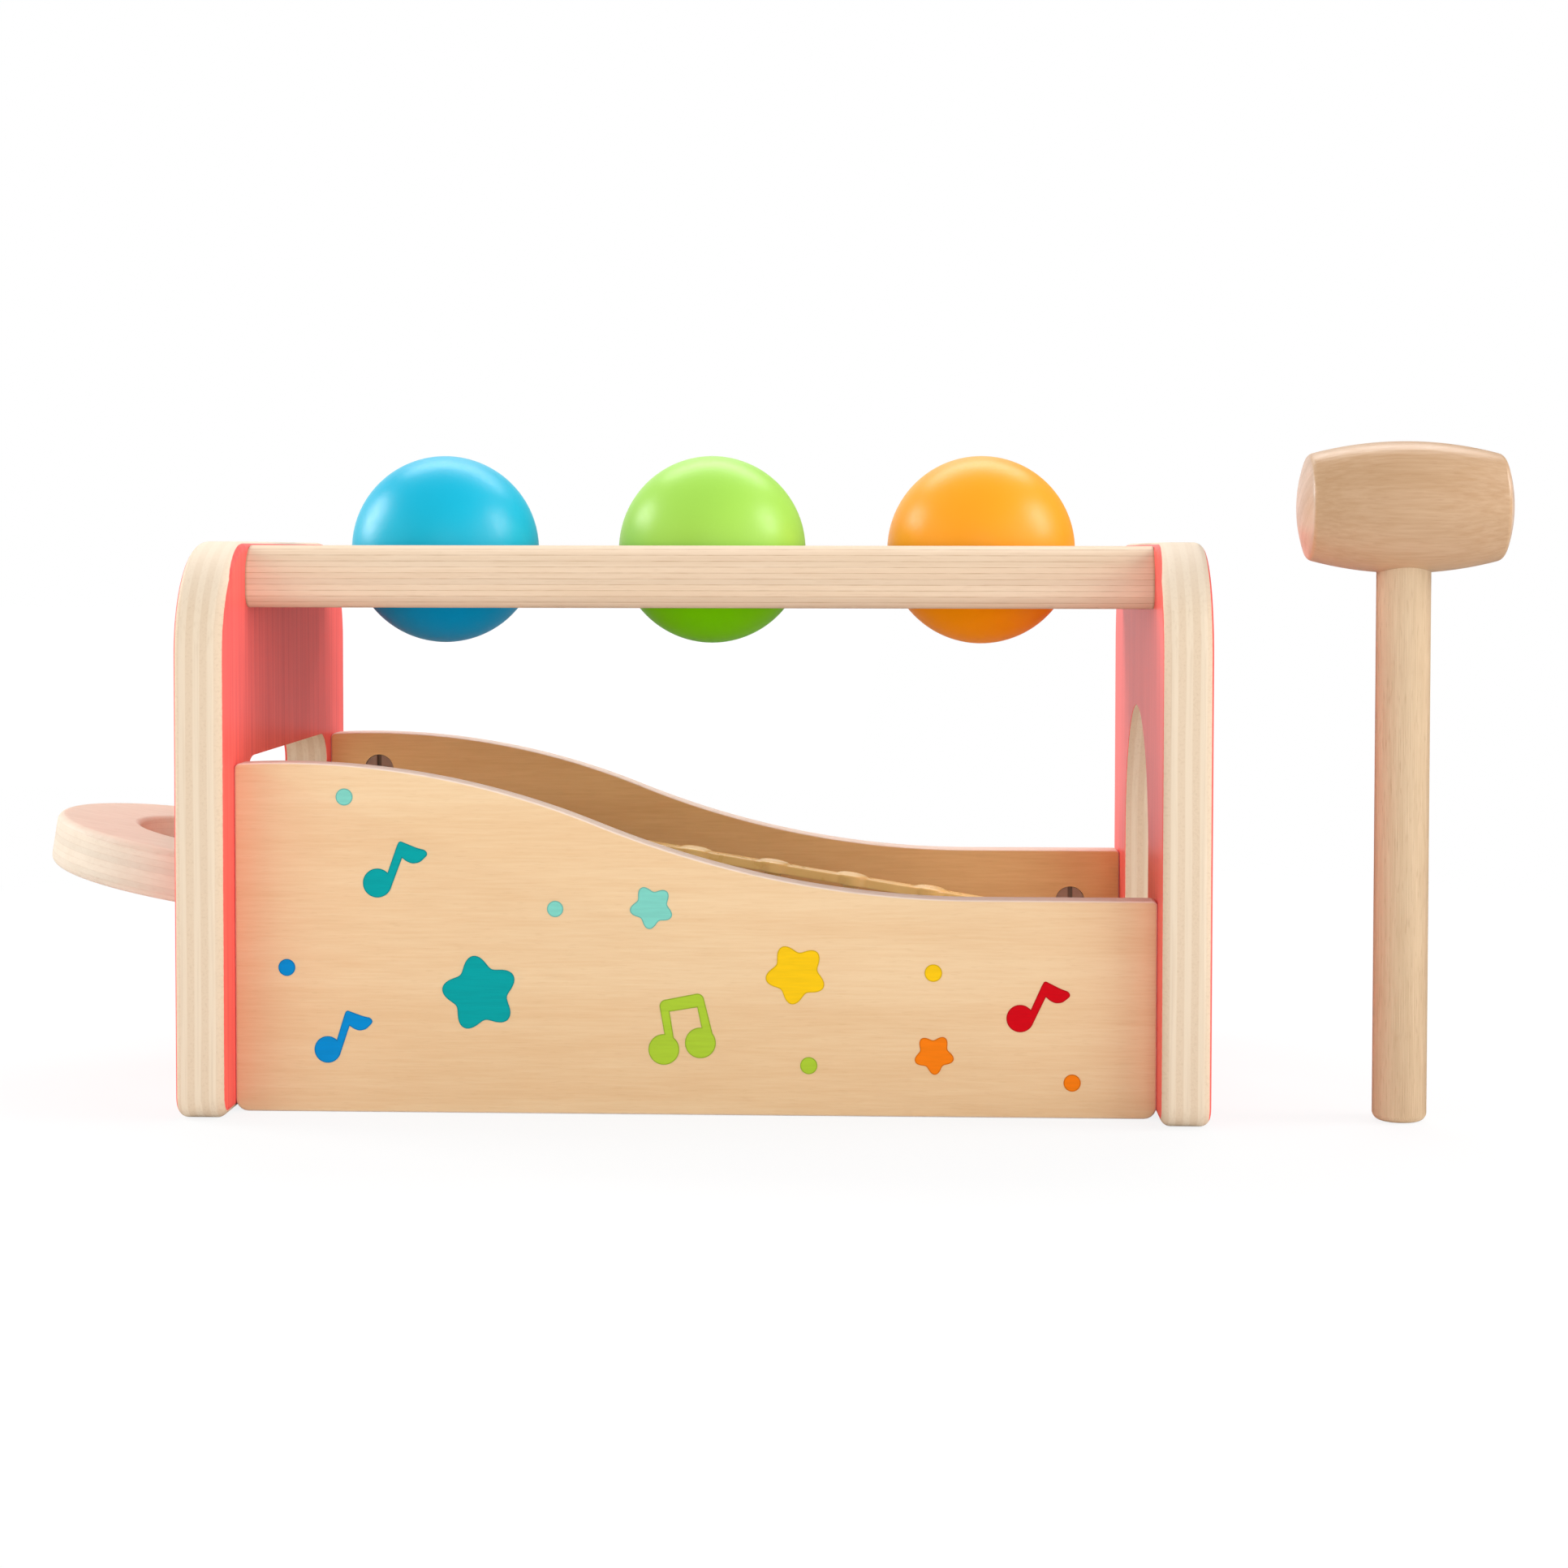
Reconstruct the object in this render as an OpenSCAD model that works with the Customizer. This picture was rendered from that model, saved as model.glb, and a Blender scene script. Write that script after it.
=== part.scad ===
// Ball pounding xylophone: a wooden bench whose three balls are knocked through elastic rings
// onto a sloping pull-out xylophone and roll out through an arch in the end, with its mallet.
// Millimetres, +Z up. The floor is Z = 0, and X and Y are measured from the middle of the whole set.

/* [Bench ends] */
// Clear length between the two end panels
inner_l = 221.3; // [205:0.1:240]
// Depth of an end panel, front to back
end_d = 148; // [142:1:160]
// Height of an end panel
end_h = 137.5; // [130:0.1:150]
// Thickness of an end panel
end_t = 11.8; // [10:0.1:15]
// Radius of an end panel's upper corners
end_top_r = 27.5; // [15:0.5:35]
// Radius of an end panel's lower corners
end_foot_r = 5.5; // [3:0.5:8]
// Rounding along an end panel's edges
end_edge_r = 2.5; // [1:0.1:3]

/* [Top board] */
// Thickness of the top board
top_t = 15.3; // [14:0.1:20]
// Width of the top board, front to back
top_w = 98; // [90:1:110]
// How far the top board lies below the tops of the end panels
top_drop = 0.9; // [0:0.1:3]
// Rounding along the upper long edges
top_edge_r = 7.5; // [4:0.5:9]
// Rounding along the lower long edges
top_under_r = 4; // [2:0.5:5]

/* [Side panels] */
// Thickness of the front and back panels
side_t = 8; // [7:0.5:10]
// How far a side panel stands in from the end panels' edges
side_setback = 12.5; // [8:0.5:16]
// Height of the wave's crest
crest_z = 84.3; // [80:0.1:92]
// Distance of the crest from the left end panel
crest_in = 11.7; // [5:0.1:20]
// Radius of the crest
crest_r = 203; // [120:1:220]
// Height of the wave's trough and of the level stretch beside it
trough_z = 52.1; // [48:0.1:58]
// Distance of the trough from the right end panel
trough_in = 42.7; // [20:0.1:50]
// Radius of the lower corners
side_foot_r = 3; // [1:0.5:5]

/* [Balls] */
// Diameter of a ball
ball_d = 48.5; // [46:0.1:52]
// Distance between the balls
ball_pitch = 69.7; // [66:0.1:75]
// How far the row of balls lies right of the bench's middle
ball_row_x = 0.5; // [-2:0.1:2]
// How far a ball's middle lies below the top board's face
ball_seat = 0.9; // [0:0.1:3]
// Room round a ball in its hole
hole_gap = 1; // [0.5:0.1:2]
// Thickness of an elastic ring
ring_d = 3.5; // [3:0.1:4.5]
// Room between a ball and its ring before the ring is stretched
touch_gap = 0.3; // [0.1:0.05:0.5]
// Room round a ring in its groove
groove_gap = 0.1; // [0.05:0.05:0.3]

/* [Xylophone board] */
// Slope of the xylophone, in degrees
tilt = 9.25; // [8:0.05:10]
// Height of the board's upper face at the middle of its finger loop
loop_z = 60.5; // [58:0.5:64]
// How far the middle of the finger loop stands outside the left end panel
loop_out = 1; // [0:0.1:15]
// Thickness of the board
board_t = 12.8; // [10:0.1:14]
// Width of the board
board_w = 94; // [84:1:98]
// Rounding along the board's edges
board_edge_r = 2; // [1:0.5:3]
// Diameter of the finger hole
finger_d = 52; // [32:1:56]
// Rounding of the finger hole's rims
finger_rim_r = 1.5; // [0.5:0.5:3]
// Room between the board and the right end panel
board_end_gap = 1.2; // [0.5:0.1:3]
// Room under the board as it slides
slide_gap = 0.3; // [0.2:0.1:0.6]
// Room beside the board in its rails
side_gap = 0.6; // [0.4:0.1:1]

/* [Bars and strips] */
// Width of a bar along the slope
bar_w = 17; // [14:0.5:18]
// Distance between bars along the slope
bar_pitch = 21.4; // [20.5:0.1:22]
// Thickness of a bar
bar_t = 2.5; // [2:0.1:4]
// Distance of the first bar's middle from the middle of the finger loop
first_bar = 53.2; // [45:0.1:64]
// Room between the longest bar's end and the board's edge
bar_inset = 3; // [2:0.5:8]
// How much shorter each bar is at either end than the one before it
bar_step = 0.9; // [0:0.1:1.2]
// Radius of a bar's corners
bar_corner_r = 2; // [0.5:0.5:4]
// Thickness of the felt under the bars
felt_t = 4.5; // [3:0.1:6]
// Width of a felt strip
felt_w = 12; // [8:0.5:16]
// Distance of a retaining strip from the middle of the board
strip_y = 26; // [24:0.5:28]
// Width of a retaining strip between its lobes
strip_w = 6; // [4:0.1:7]
// Height of a retaining strip
strip_h = 5.3; // [3.5:0.1:6]
// Rounding along the upper edges of a retaining strip
strip_edge_r = 1; // [0.5:0.1:1.5]
// Diameter of a strip's round lobes
lobe_d = 9; // [8:0.1:9.5]
// Rise of the dome on a lobe
dome_h = 1.2; // [0.8:0.1:2.4]
// Diameter of a strip's pegs
peg_d = 4; // [3:0.1:5]
// Depth of a peg in the board
peg_depth = 8; // [5:0.5:9]
// Room round a peg
peg_gap = 0.2; // [0.1:0.05:0.4]

/* [Rails and openings] */
// Thickness of a rail under the board
rail_t = 7.5; // [5:0.5:9]
// How far the board lies on a rail
rail_lap = 8; // [5:0.5:12]
// Height of a rail's lip beside the board
rail_lip = 6; // [3:0.5:9]
// Room beside the board in the left end panel's slot
slot_gap = 1.5; // [1:0.5:4]
// Height of the slot
slot_h = 39.5; // [34:0.5:45]
// Radius of the slot's upper corners
slot_top_r = 8; // [2:0.5:10]
// Radius of the slot's lower corners
slot_foot_r = 3; // [2:0.5:4]
// Width of the arch that the balls leave by
arch_w = 70; // [60:1:76]
// Height of the arch from its sill
arch_h = 68.5; // [60:0.5:72]
// How far the arch's sill lies below the tops of the bars
arch_step = 2.3; // [1:0.1:4]

/* [Fasteners] */
// Diameter of the bolts into the side panels
side_bolt_d = 4; // [3:0.5:4]
// Diameter of the bolts into the top board
top_bolt_d = 5; // [4:0.5:6]
// Diameter of a bolt's head
head_d = 10; // [9:0.5:12]
// Height of a bolt's head
head_h = 2.8; // [2:0.1:4]
// How far a head lies below the end panel's face
head_sink = 0.3; // [0:0.1:1]
// Width across the flats of a head's socket
key_w = 3; // [2:0.5:4]
// Room round a bolt, head, nut or dowel
fit_gap = 0.15; // [0.1:0.05:0.3]
// Diameter of a side panel's barrel nut
side_nut_d = 7.8; // [6:0.1:9]
// Distance of that nut from the end panel
side_nut_in = 13.7; // [10:0.1:18]
// How far that nut lies below the side panel's face
nut_sink = 0.4; // [0.2:0.1:1]
// Wood left behind that nut
nut_wall = 1.2; // [0.8:0.1:2]
// Distance of the left nuts below the crest
left_nut_drop = 10.3; // [8:0.1:14]
// Distance of the right nuts below the trough
right_nut_drop = 14.2; // [10:0.1:18]
// Diameter of the top board's barrel nuts
top_nut_d = 10; // [8:0.5:11]
// Length of the top board's barrel nuts
top_nut_l = 10; // [8:0.5:11]
// Distance of those nuts from the end panel
top_nut_in = 15; // [12:0.5:18]
// Distance of the top bolts from the middle of the board
top_bolt_y = 32; // [30:1:36]
// Width of the screwdriver slot in a nut
nut_slot_w = 1.3; // [0.8:0.1:2]
// Depth of the screwdriver slot in a nut
nut_slot_h = 1; // [0.5:0.1:1.5]
// Diameter of the dowels in the side panels
side_dowel_d = 5; // [4:0.5:5]
// Height of those dowels above the floor
side_dowel_z = 16; // [10:0.5:20]
// Diameter of the dowels in the top board
top_dowel_d = 8; // [6:0.5:9]
// Depth of a dowel in each of its two pieces
dowel_depth = 7; // [5:0.5:8]

/* [Mallet] */
// Height of the mallet standing on its handle
mallet_h = 161.4; // [140:0.1:180]
// Distance of the mallet's middle from the right end panel
mallet_out = 46; // [35:0.5:60]
// Length of the head
head_l = 50.2; // [45:0.1:60]
// Diameter of the head at its middle
head_mid_d = 31.2; // [28:0.1:36]
// Diameter to which the head narrows at its ends
head_end_d = 23.6; // [22:0.1:27]
// Radius of the head's domed ends
head_dome_r = 34; // [30:1:80]
// Rounding of the head's rims
head_rim_r = 1.2; // [0.8:0.1:3]
// Diameter of the handle
handle_d = 12.4; // [10:0.1:15]
// Depth of the handle in the head
handle_in = 22; // [16:0.5:25]
// Rounding of the handle's ends
handle_end_r = 1.8; // [1:0.1:4]
// Room round the handle in the head
handle_gap = 0.05; // [0.02:0.01:0.1]

/* [Hidden] */
$fn = 96;
// A wide arc needs a finer circle than a hole does
wave_fn = 720;
// How far a cutting shape runs past the face that it cuts
past = 1;
bar_count = 8;
arc_steps = 10;

// Colours
coral = [1.0, 0.40, 0.38];
basswood = [0.94, 0.80, 0.59];
birch = [0.93, 0.83, 0.72];
beech = [0.87, 0.72, 0.57];
steel = [0.72, 0.73, 0.75];
dull_steel = [0.55, 0.52, 0.49];
cream = [0.86, 0.73, 0.46];
felt_white = [0.90, 0.89, 0.86];
clear_elastic = [0.88, 0.88, 0.84];

// Faces of the bench, measured from its own middle
half_l = inner_l / 2;
outer_x = half_l + end_t;
side_out = end_d / 2 - side_setback;
side_in = side_out - side_t;
top_z = end_h - top_drop;
top_under_z = top_z - top_t;
top_mid_z = top_z - top_t / 2;

// The wave: two arcs that meet where they share a tangent
crest_x = -half_l + crest_in;
trough_x = half_l - trough_in;
wave_run = trough_x - crest_x;
wave_fall = crest_z - trough_z;
trough_r = (wave_run * wave_run + wave_fall * wave_fall) / (2 * wave_fall) - crest_r;
crest_share = crest_r / (crest_r + trough_r);
bend_x = crest_x + wave_run * crest_share;
bend_z = crest_z - wave_fall * crest_share;

// Balls and their rings
ball_r = ball_d / 2;
ball_z = top_z - ball_seat;
hole_r = ball_r + hole_gap;
ring_reach = ball_r + touch_gap + ring_d / 2;
ring_r = sqrt(pow(ring_reach, 2) - pow(ball_z - top_mid_z, 2));

// The slope
loop_x = -outer_x - loop_out;
loop_r = board_w / 2;
board_l = (half_l - board_end_gap - loop_x) / cos(tilt);
strip_z = felt_t + bar_t;
// Height above the floor of a plane that lies w above the board, at x along the bench
function slope_z(x, w) = loop_z - (x - loop_x) * tan(tilt) + w / cos(tilt);
function bar_u(i) = first_bar + (i - 1) * bar_pitch;
function bar_l(i) = board_w - 2 * (bar_inset + (i - 1) * bar_step);
sill_z = slope_z(-half_l, -board_t - slide_gap);
slot_half = board_w / 2 + slot_gap;
arch_sill_z = slope_z(half_l, strip_z) - arch_step;

// Fasteners
side_nut_l = side_t - nut_sink - nut_wall;
side_bolt_y = side_in + nut_sink + side_nut_l / 2;
function side_bolt_z(end) = end < 0 ? crest_z - left_nut_drop : trough_z - right_nut_drop;
head_seat_x = outer_x - head_sink - head_h;
side_tip_x = half_l - side_nut_in - side_nut_d / 2;
top_tip_x = half_l - top_nut_in - top_nut_d / 2;

// Mallet, and the shift that brings the middle of the whole set to X = 0
mallet_x = outer_x + mallet_out;
mallet_y = -(end_d - head_mid_d) / 2;
mallet_head_z = mallet_h - head_mid_d / 2;
handle_l = mallet_h - head_mid_d + handle_in;
loop_tip_x = loop_x - (loop_r - board_edge_r) * cos(tilt)
    - (board_t - board_edge_r) * sin(tilt) - board_edge_r;
bench_x = -(loop_tip_x + mallet_x + head_l / 2) / 2;

// Shared shapes

// Puts what is drawn round the bench's middle where the bench stands in the set
module bench() {
    translate([bench_x, 0, 0])
        children();
}

// Draws a piece of the back, and its mirror image at the front
module front_and_back() {
    for (m = [0, 1])
        mirror([0, m, 0])
            children();
}

// The xylophone's own frame: X down the slope, Z square to the board, Z = 0 on its upper face
module on_slope() {
    translate([loop_x, 0, loop_z])
        rotate([0, tilt, 0])
            children();
}

// A round rod along X between two places
module x_rod(x1, x2, d) {
    translate([min(x1, x2), 0, 0])
        rotate([0, 90, 0])
            cylinder(d = d, h = abs(x2 - x1));
}

// Half the section of a slab whose edge is rounded above and below
module edge_section(reach, t, r) {
    intersection() {
        square([reach, t]);
        union() {
            square([reach - r, t]);
            translate([0, r])
                square([reach, t - 2 * r]);
            for (y = [r, t - r])
                translate([reach - r, y])
                    circle(r);
        }
    }
}

// A straight length of that section, along Y
module edge_strip(length, reach, t, r) {
    translate([0, length, 0])
        rotate([90, 0, 0])
            linear_extrude(length)
                edge_section(reach, t, r);
}

// A quarter turn of that section, from +X to +Y
module edge_corner(reach, t, r) {
    rotate_extrude(angle = 90)
        edge_section(reach, t, r);
}

// A slab with round corners and rounded edges: width along X, height along Y, thickness along Z
module eased_slab(w, h, t, top_r, foot_r, edge_r) {
    top_x = w / 2 - top_r;
    foot_x = w / 2 - foot_r;
    shoulder = h - top_r;
    translate([-top_x, foot_r, 0])
        cube([2 * top_x, shoulder - foot_r, t]);
    translate([top_x, shoulder, 0])
        rotate(90)
            edge_strip(2 * top_x, top_r, t, edge_r);
    translate([-foot_x, foot_r, 0])
        rotate(-90)
            edge_strip(2 * foot_x, foot_r, t, edge_r);
    for (m = [0, 1])
        mirror([m, 0, 0]) {
            translate([top_x, foot_r, 0])
                edge_strip(shoulder - foot_r, top_r, t, edge_r);
            translate([top_x, shoulder, 0])
                edge_corner(top_r, t, edge_r);
            translate([foot_x, foot_r, 0])
                rotate(-90)
                    edge_corner(foot_r, t, edge_r);
        }
}

// A flat rectangle with round corners, about its middle
module round_rect(w, h, r) {
    square([w - 2 * r, h], center = true);
    square([w, h - 2 * r], center = true);
    for (x = [-1, 1], y = [-1, 1])
        translate([x * (w / 2 - r), y * (h / 2 - r)])
            circle(r);
}

// Places at the middles of the three balls, in the top board's plan
module at_ball(i) {
    translate([ball_row_x + (i - 2) * ball_pitch, 0, 0])
        children();
}

// Fasteners and the ways that they need

// A bolt from an end panel's outer face, along X, with a hexagon socket in its head
module connector_bolt(end, d, tip_x) {
    face_x = head_seat_x + head_h;
    difference() {
        union() {
            x_rod(end * head_seat_x, end * face_x, head_d);
            x_rod(end * tip_x, end * head_seat_x, d);
        }
        translate([end * (face_x - head_h / 2), 0, 0])
            rotate([0, end * 90, 0])
                cylinder(d = key_w / cos(30), h = head_h, $fn = 6);
    }
}

// The hole for such a bolt, with a sunk seat for its head
module bolt_way(end, d, tip_x) {
    x_rod(end * (tip_x - past), end * (outer_x + past), d + 2 * fit_gap);
    x_rod(end * head_seat_x, end * (outer_x + past), head_d + 2 * fit_gap);
}

// Moves a piece to the bolts of the back panel at one end, or of the top board's back half
module at_side_bolt(end) {
    translate([0, side_bolt_y, side_bolt_z(end)])
        children();
}

module at_top_bolt() {
    translate([0, top_bolt_y, top_mid_z])
        children();
}

// A cylindrical nut standing on Z = 0, slotted underneath, with a cross hole along X
module barrel_nut(d, length, bolt_d) {
    difference() {
        cylinder(d = d, h = length);
        translate([-nut_slot_w / 2, -d, -past])
            cube([nut_slot_w, 2 * d, nut_slot_h + past]);
        translate([0, 0, length / 2])
            x_rod(-d, d, bolt_d + 2 * fit_gap);
    }
}

// Barrel nuts of the back panel lie along Y and show their slots on its inner face
module at_side_nut(end) {
    translate([end * (half_l - side_nut_in), side_in + nut_sink, side_bolt_z(end)])
        rotate([-90, 0, 0])
            children();
}

module at_top_nut(end) {
    translate([end * (half_l - top_nut_in), top_bolt_y, top_mid_z - top_nut_l / 2])
        children();
}

// A dowel across the joint of an end panel, with extra room at its ends for its hole
module dowel(end, d, spare) {
    x_rod(end * (half_l - dowel_depth - spare), end * (half_l + dowel_depth + spare), d);
}

module at_side_dowel() {
    translate([0, side_bolt_y, side_dowel_z])
        children();
}

// Every hole that the fasteners need at one end of the bench
module fastener_ways(end) {
    front_and_back() {
        at_side_bolt(end)
            bolt_way(end, side_bolt_d, side_tip_x);
        at_top_bolt()
            bolt_way(end, top_bolt_d, top_tip_x);
        at_side_dowel()
            dowel(end, side_dowel_d + 2 * fit_gap, fit_gap);
    }
    translate([0, 0, top_mid_z])
        dowel(end, top_dowel_d + 2 * fit_gap, fit_gap);
}

// The bench

module end_slab(end) {
    translate([end < 0 ? -outer_x : half_l, 0, 0])
        rotate([90, 0, 90])
            eased_slab(end_d, end_h, end_t, end_top_r, end_foot_r, end_edge_r);
}

// Cuts an outline in Y and Z through an end panel
module through_end(end) {
    translate([end < 0 ? -outer_x - past : half_l - past, 0, 0])
        rotate([90, 0, 90])
            linear_extrude(end_t + 2 * past)
                children();
}

// The slot has wide upper corners, and small lower ones that clear the board's edges
module slot_outline() {
    translate([0, sill_z + slot_h / 2])
        round_rect(2 * slot_half, slot_h, slot_top_r);
    translate([0, sill_z + slot_h / 4])
        round_rect(2 * slot_half, slot_h / 2, slot_foot_r);
}

module left_end_panel() {
    color(coral)
        bench()
            difference() {
                end_slab(-1);
                through_end(-1)
                    slot_outline();
                fastener_ways(-1);
            }
}

module right_end_panel() {
    spring_z = arch_sill_z + arch_h - arch_w / 2;
    color(coral)
        bench()
            difference() {
                end_slab(1);
                through_end(1)
                    intersection() {
                        union() {
                            translate([0, spring_z])
                                circle(d = arch_w);
                            translate([-arch_w / 2, 0])
                                square([arch_w, spring_z]);
                        }
                        translate([-arch_w, arch_sill_z])
                            square([2 * arch_w, arch_h + past]);
                    }
                fastener_ways(1);
            }
}

// Section of the top board's back half: Y outwards, Z up, with unlike roundings
module top_section() {
    half_w = top_w / 2;
    square([half_w - top_edge_r, top_t]);
    translate([0, top_under_r])
        square([half_w, top_t - top_edge_r - top_under_r]);
    square([half_w - top_under_r, top_t - top_edge_r]);
    translate([half_w - top_edge_r, top_t - top_edge_r])
        circle(top_edge_r);
    translate([half_w - top_under_r, top_under_r])
        circle(top_under_r);
}

module top_board() {
    color(birch)
        bench()
            difference() {
                front_and_back()
                    translate([-half_l, 0, top_under_z])
                        rotate([90, 0, 90])
                            linear_extrude(inner_l)
                                top_section();
                for (i = [1 : 3])
                    at_ball(i) {
                        translate([0, 0, top_under_z - past])
                            cylinder(r = hole_r, h = top_t + 2 * past);
                        translate([0, 0, top_mid_z])
                            rotate_extrude()
                                translate([ring_r, 0])
                                    circle(d = ring_d + 2 * groove_gap);
                    }
                for (end = [-1, 1]) {
                    fastener_ways(end);
                    front_and_back()
                        at_top_nut(end)
                            translate([0, 0, -top_t])
                                cylinder(d = top_nut_d + 2 * fit_gap, h = top_t + top_nut_l + fit_gap);
                }
            }
}

// Outline of a side panel: a crest, a trough and a level end, over a straight foot
module wave_outline() {
    difference() {
        union() {
            intersection() {
                translate([-half_l, 0])
                    square([bend_x + half_l, crest_z]);
                translate([crest_x, crest_z - crest_r])
                    circle(crest_r, $fn = wave_fn);
            }
            difference() {
                translate([crest_x, 0])
                    square([wave_run, bend_z]);
                translate([trough_x, trough_z + trough_r])
                    circle(trough_r, $fn = wave_fn);
            }
            translate([-half_l, 0])
                square([inner_l, trough_z]);
        }
        for (m = [0, 1])
            mirror([m, 0])
                translate([half_l - side_foot_r, 0])
                    difference() {
                        translate([0, -past])
                            square([side_foot_r + past, side_foot_r + past]);
                        translate([0, side_foot_r])
                            circle(side_foot_r);
                    }
    }
}

module side_panel() {
    difference() {
        translate([0, side_out, 0])
            rotate([90, 0, 0])
                linear_extrude(side_t)
                    wave_outline();
        for (end = [-1, 1]) {
            fastener_ways(end);
            at_side_nut(end)
                translate([0, 0, -nut_sink - past])
                    cylinder(d = side_nut_d + 2 * fit_gap, h = nut_sink + past + side_nut_l + fit_gap);
        }
    }
}

module back_panel() {
    color(basswood)
        bench()
            side_panel();
}

module front_panel() {
    color(basswood)
        bench()
            mirror([0, 1, 0])
                side_panel();
}

// A rebated batten on a side panel: a ledge under the board and a lip beside it
module rail() {
    ledge_y = board_w / 2 - rail_lap;
    lip_y = board_w / 2 + side_gap;
    intersection() {
        on_slope()
            translate([0, 0, -board_t - slide_gap])
                rotate([90, 0, 90])
                    linear_extrude(board_l + end_t)
                        polygon([[ledge_y, -rail_t], [side_in, -rail_t], [side_in, rail_lip],
                            [lip_y, rail_lip], [lip_y, 0], [ledge_y, 0]]);
        translate([-half_l, 0, 0])
            cube([inner_l, side_in, end_h]);
    }
}

module back_rail() {
    color(beech)
        bench()
            rail();
}

module front_rail() {
    color(beech)
        bench()
            mirror([0, 1, 0])
                rail();
}

module elastic_ring(i) {
    color(clear_elastic)
        bench()
            at_ball(i)
                translate([0, 0, top_mid_z])
                    rotate_extrude()
                        translate([ring_r, 0])
                            circle(d = ring_d);
}

module side_bolts() {
    color(steel)
        bench()
            front_and_back()
                for (end = [-1, 1])
                    at_side_bolt(end)
                        connector_bolt(end, side_bolt_d, side_tip_x);
}

module top_bolts() {
    color(steel)
        bench()
            front_and_back()
                for (end = [-1, 1])
                    at_top_bolt()
                        connector_bolt(end, top_bolt_d, top_tip_x);
}

module side_barrel_nuts() {
    color(dull_steel)
        bench()
            front_and_back()
                for (end = [-1, 1])
                    at_side_nut(end)
                        barrel_nut(side_nut_d, side_nut_l, side_bolt_d);
}

module top_barrel_nuts() {
    color(dull_steel)
        bench()
            front_and_back()
                for (end = [-1, 1])
                    at_top_nut(end)
                        barrel_nut(top_nut_d, top_nut_l, top_bolt_d);
}

module side_dowels() {
    color(beech)
        bench()
            front_and_back()
                for (end = [-1, 1])
                    at_side_dowel()
                        dowel(end, side_dowel_d, 0);
}

module top_dowels() {
    color(beech)
        bench()
            for (end = [-1, 1])
                translate([0, 0, top_mid_z])
                    dowel(end, top_dowel_d, 0);
}

// The xylophone

// Places at a bar's middle, in the slope's frame
module at_bar(i) {
    translate([bar_u(i), 0, 0])
        children();
}

// Peg holes through or into a piece, for the strips' pegs at every bar
module peg_ways(from_z, depth) {
    for (i = [1 : bar_count], s = [-1, 1])
        at_bar(i)
            translate([0, s * strip_y, from_z])
                cylinder(d = peg_d + 2 * peg_gap, h = depth);
}

// A round hole through the board with rounded rims
module rimmed_hole(r, t, rim) {
    rotate_extrude() {
        translate([0, -past])
            square([r, t + 2 * past]);
        for (m = [0, 1])
            translate([0, m * t])
                mirror([0, m])
                    difference() {
                        translate([0, -past])
                            square([r + rim, rim + past]);
                        translate([r + rim, rim])
                            circle(rim);
                    }
    }
}

module xylophone_board() {
    color(birch)
        bench()
            on_slope()
                difference() {
                    translate([0, 0, -board_t]) {
                        front_and_back()
                            rotate(-90)
                                edge_strip(board_l, loop_r, board_t, board_edge_r);
                        rotate(90)
                            rotate_extrude(angle = 180)
                                edge_section(loop_r, board_t, board_edge_r);
                    }
                    translate([0, 0, -board_t])
                        rimmed_hole(finger_d / 2, board_t, finger_rim_r);
                    peg_ways(-peg_depth - peg_gap, peg_depth + peg_gap + past);
                }
}

module chime_bar(i) {
    color(steel)
        bench()
            on_slope()
                difference() {
                    at_bar(i)
                        translate([0, 0, felt_t])
                            linear_extrude(bar_t)
                                round_rect(bar_w, bar_l(i), bar_corner_r);
                    peg_ways(felt_t - past, bar_t + 2 * past);
                }
}

module felt(side) {
    color(felt_white)
        bench()
            on_slope()
                difference() {
                    translate([bar_u(1) - bar_w / 2, side * strip_y - felt_w / 2, 0])
                        cube([(bar_count - 1) * bar_pitch + bar_w, felt_w, felt_t]);
                    peg_ways(-past, felt_t + 2 * past);
                }
}

// A round lobe with a domed top, standing on the bar
module lobe() {
    dome_r = (pow(lobe_d / 2, 2) + pow(dome_h, 2)) / (2 * dome_h);
    intersection() {
        cylinder(d = lobe_d, h = strip_h + dome_h);
        translate([0, 0, strip_h + dome_h - dome_r])
            sphere(dome_r);
    }
    cylinder(d = lobe_d, h = strip_h / 2);
}

// Section of a retaining strip: a flat-topped rib with eased upper edges
module strip_section() {
    translate([-strip_w / 2, 0])
        square([strip_w, strip_h - strip_edge_r]);
    translate([strip_edge_r - strip_w / 2, 0])
        square([strip_w - 2 * strip_edge_r, strip_h]);
    for (s = [-1, 1])
        translate([s * (strip_w / 2 - strip_edge_r), strip_h - strip_edge_r])
            circle(strip_edge_r);
}

// A moulded strip that holds the bars down: a rib, its lobes and their pegs
module retaining_strip(side) {
    color(cream)
        bench()
            on_slope()
                translate([0, side * strip_y, strip_z]) {
                    translate([bar_u(1), 0, 0])
                        rotate([90, 0, 90])
                            linear_extrude((bar_count - 1) * bar_pitch)
                                strip_section();
                    for (i = [1 : bar_count])
                        at_bar(i) {
                            lobe();
                            translate([0, 0, -strip_z - peg_depth])
                                cylinder(d = peg_d, h = strip_z + peg_depth + strip_h / 2);
                        }
                }
}

// The balls

module ball(i, paint) {
    color(paint)
        bench()
            at_ball(i)
                translate([0, 0, ball_z])
                    sphere(ball_r);
}

// The mallet

// Where two circles cross, on the side that is right of the way from c1 to c2
function crossing(c1, r1, c2, r2) =
    let (d = norm(c2 - c1),
        a = (d * d + r1 * r1 - r2 * r2) / (2 * d),
        h = sqrt(r1 * r1 - a * a),
        e = (c2 - c1) / d)
    c1 + a * e + h * [e[1], -e[0]];

function angle_to(from, to) = atan2(to[1] - from[1], to[0] - from[0]);

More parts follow.
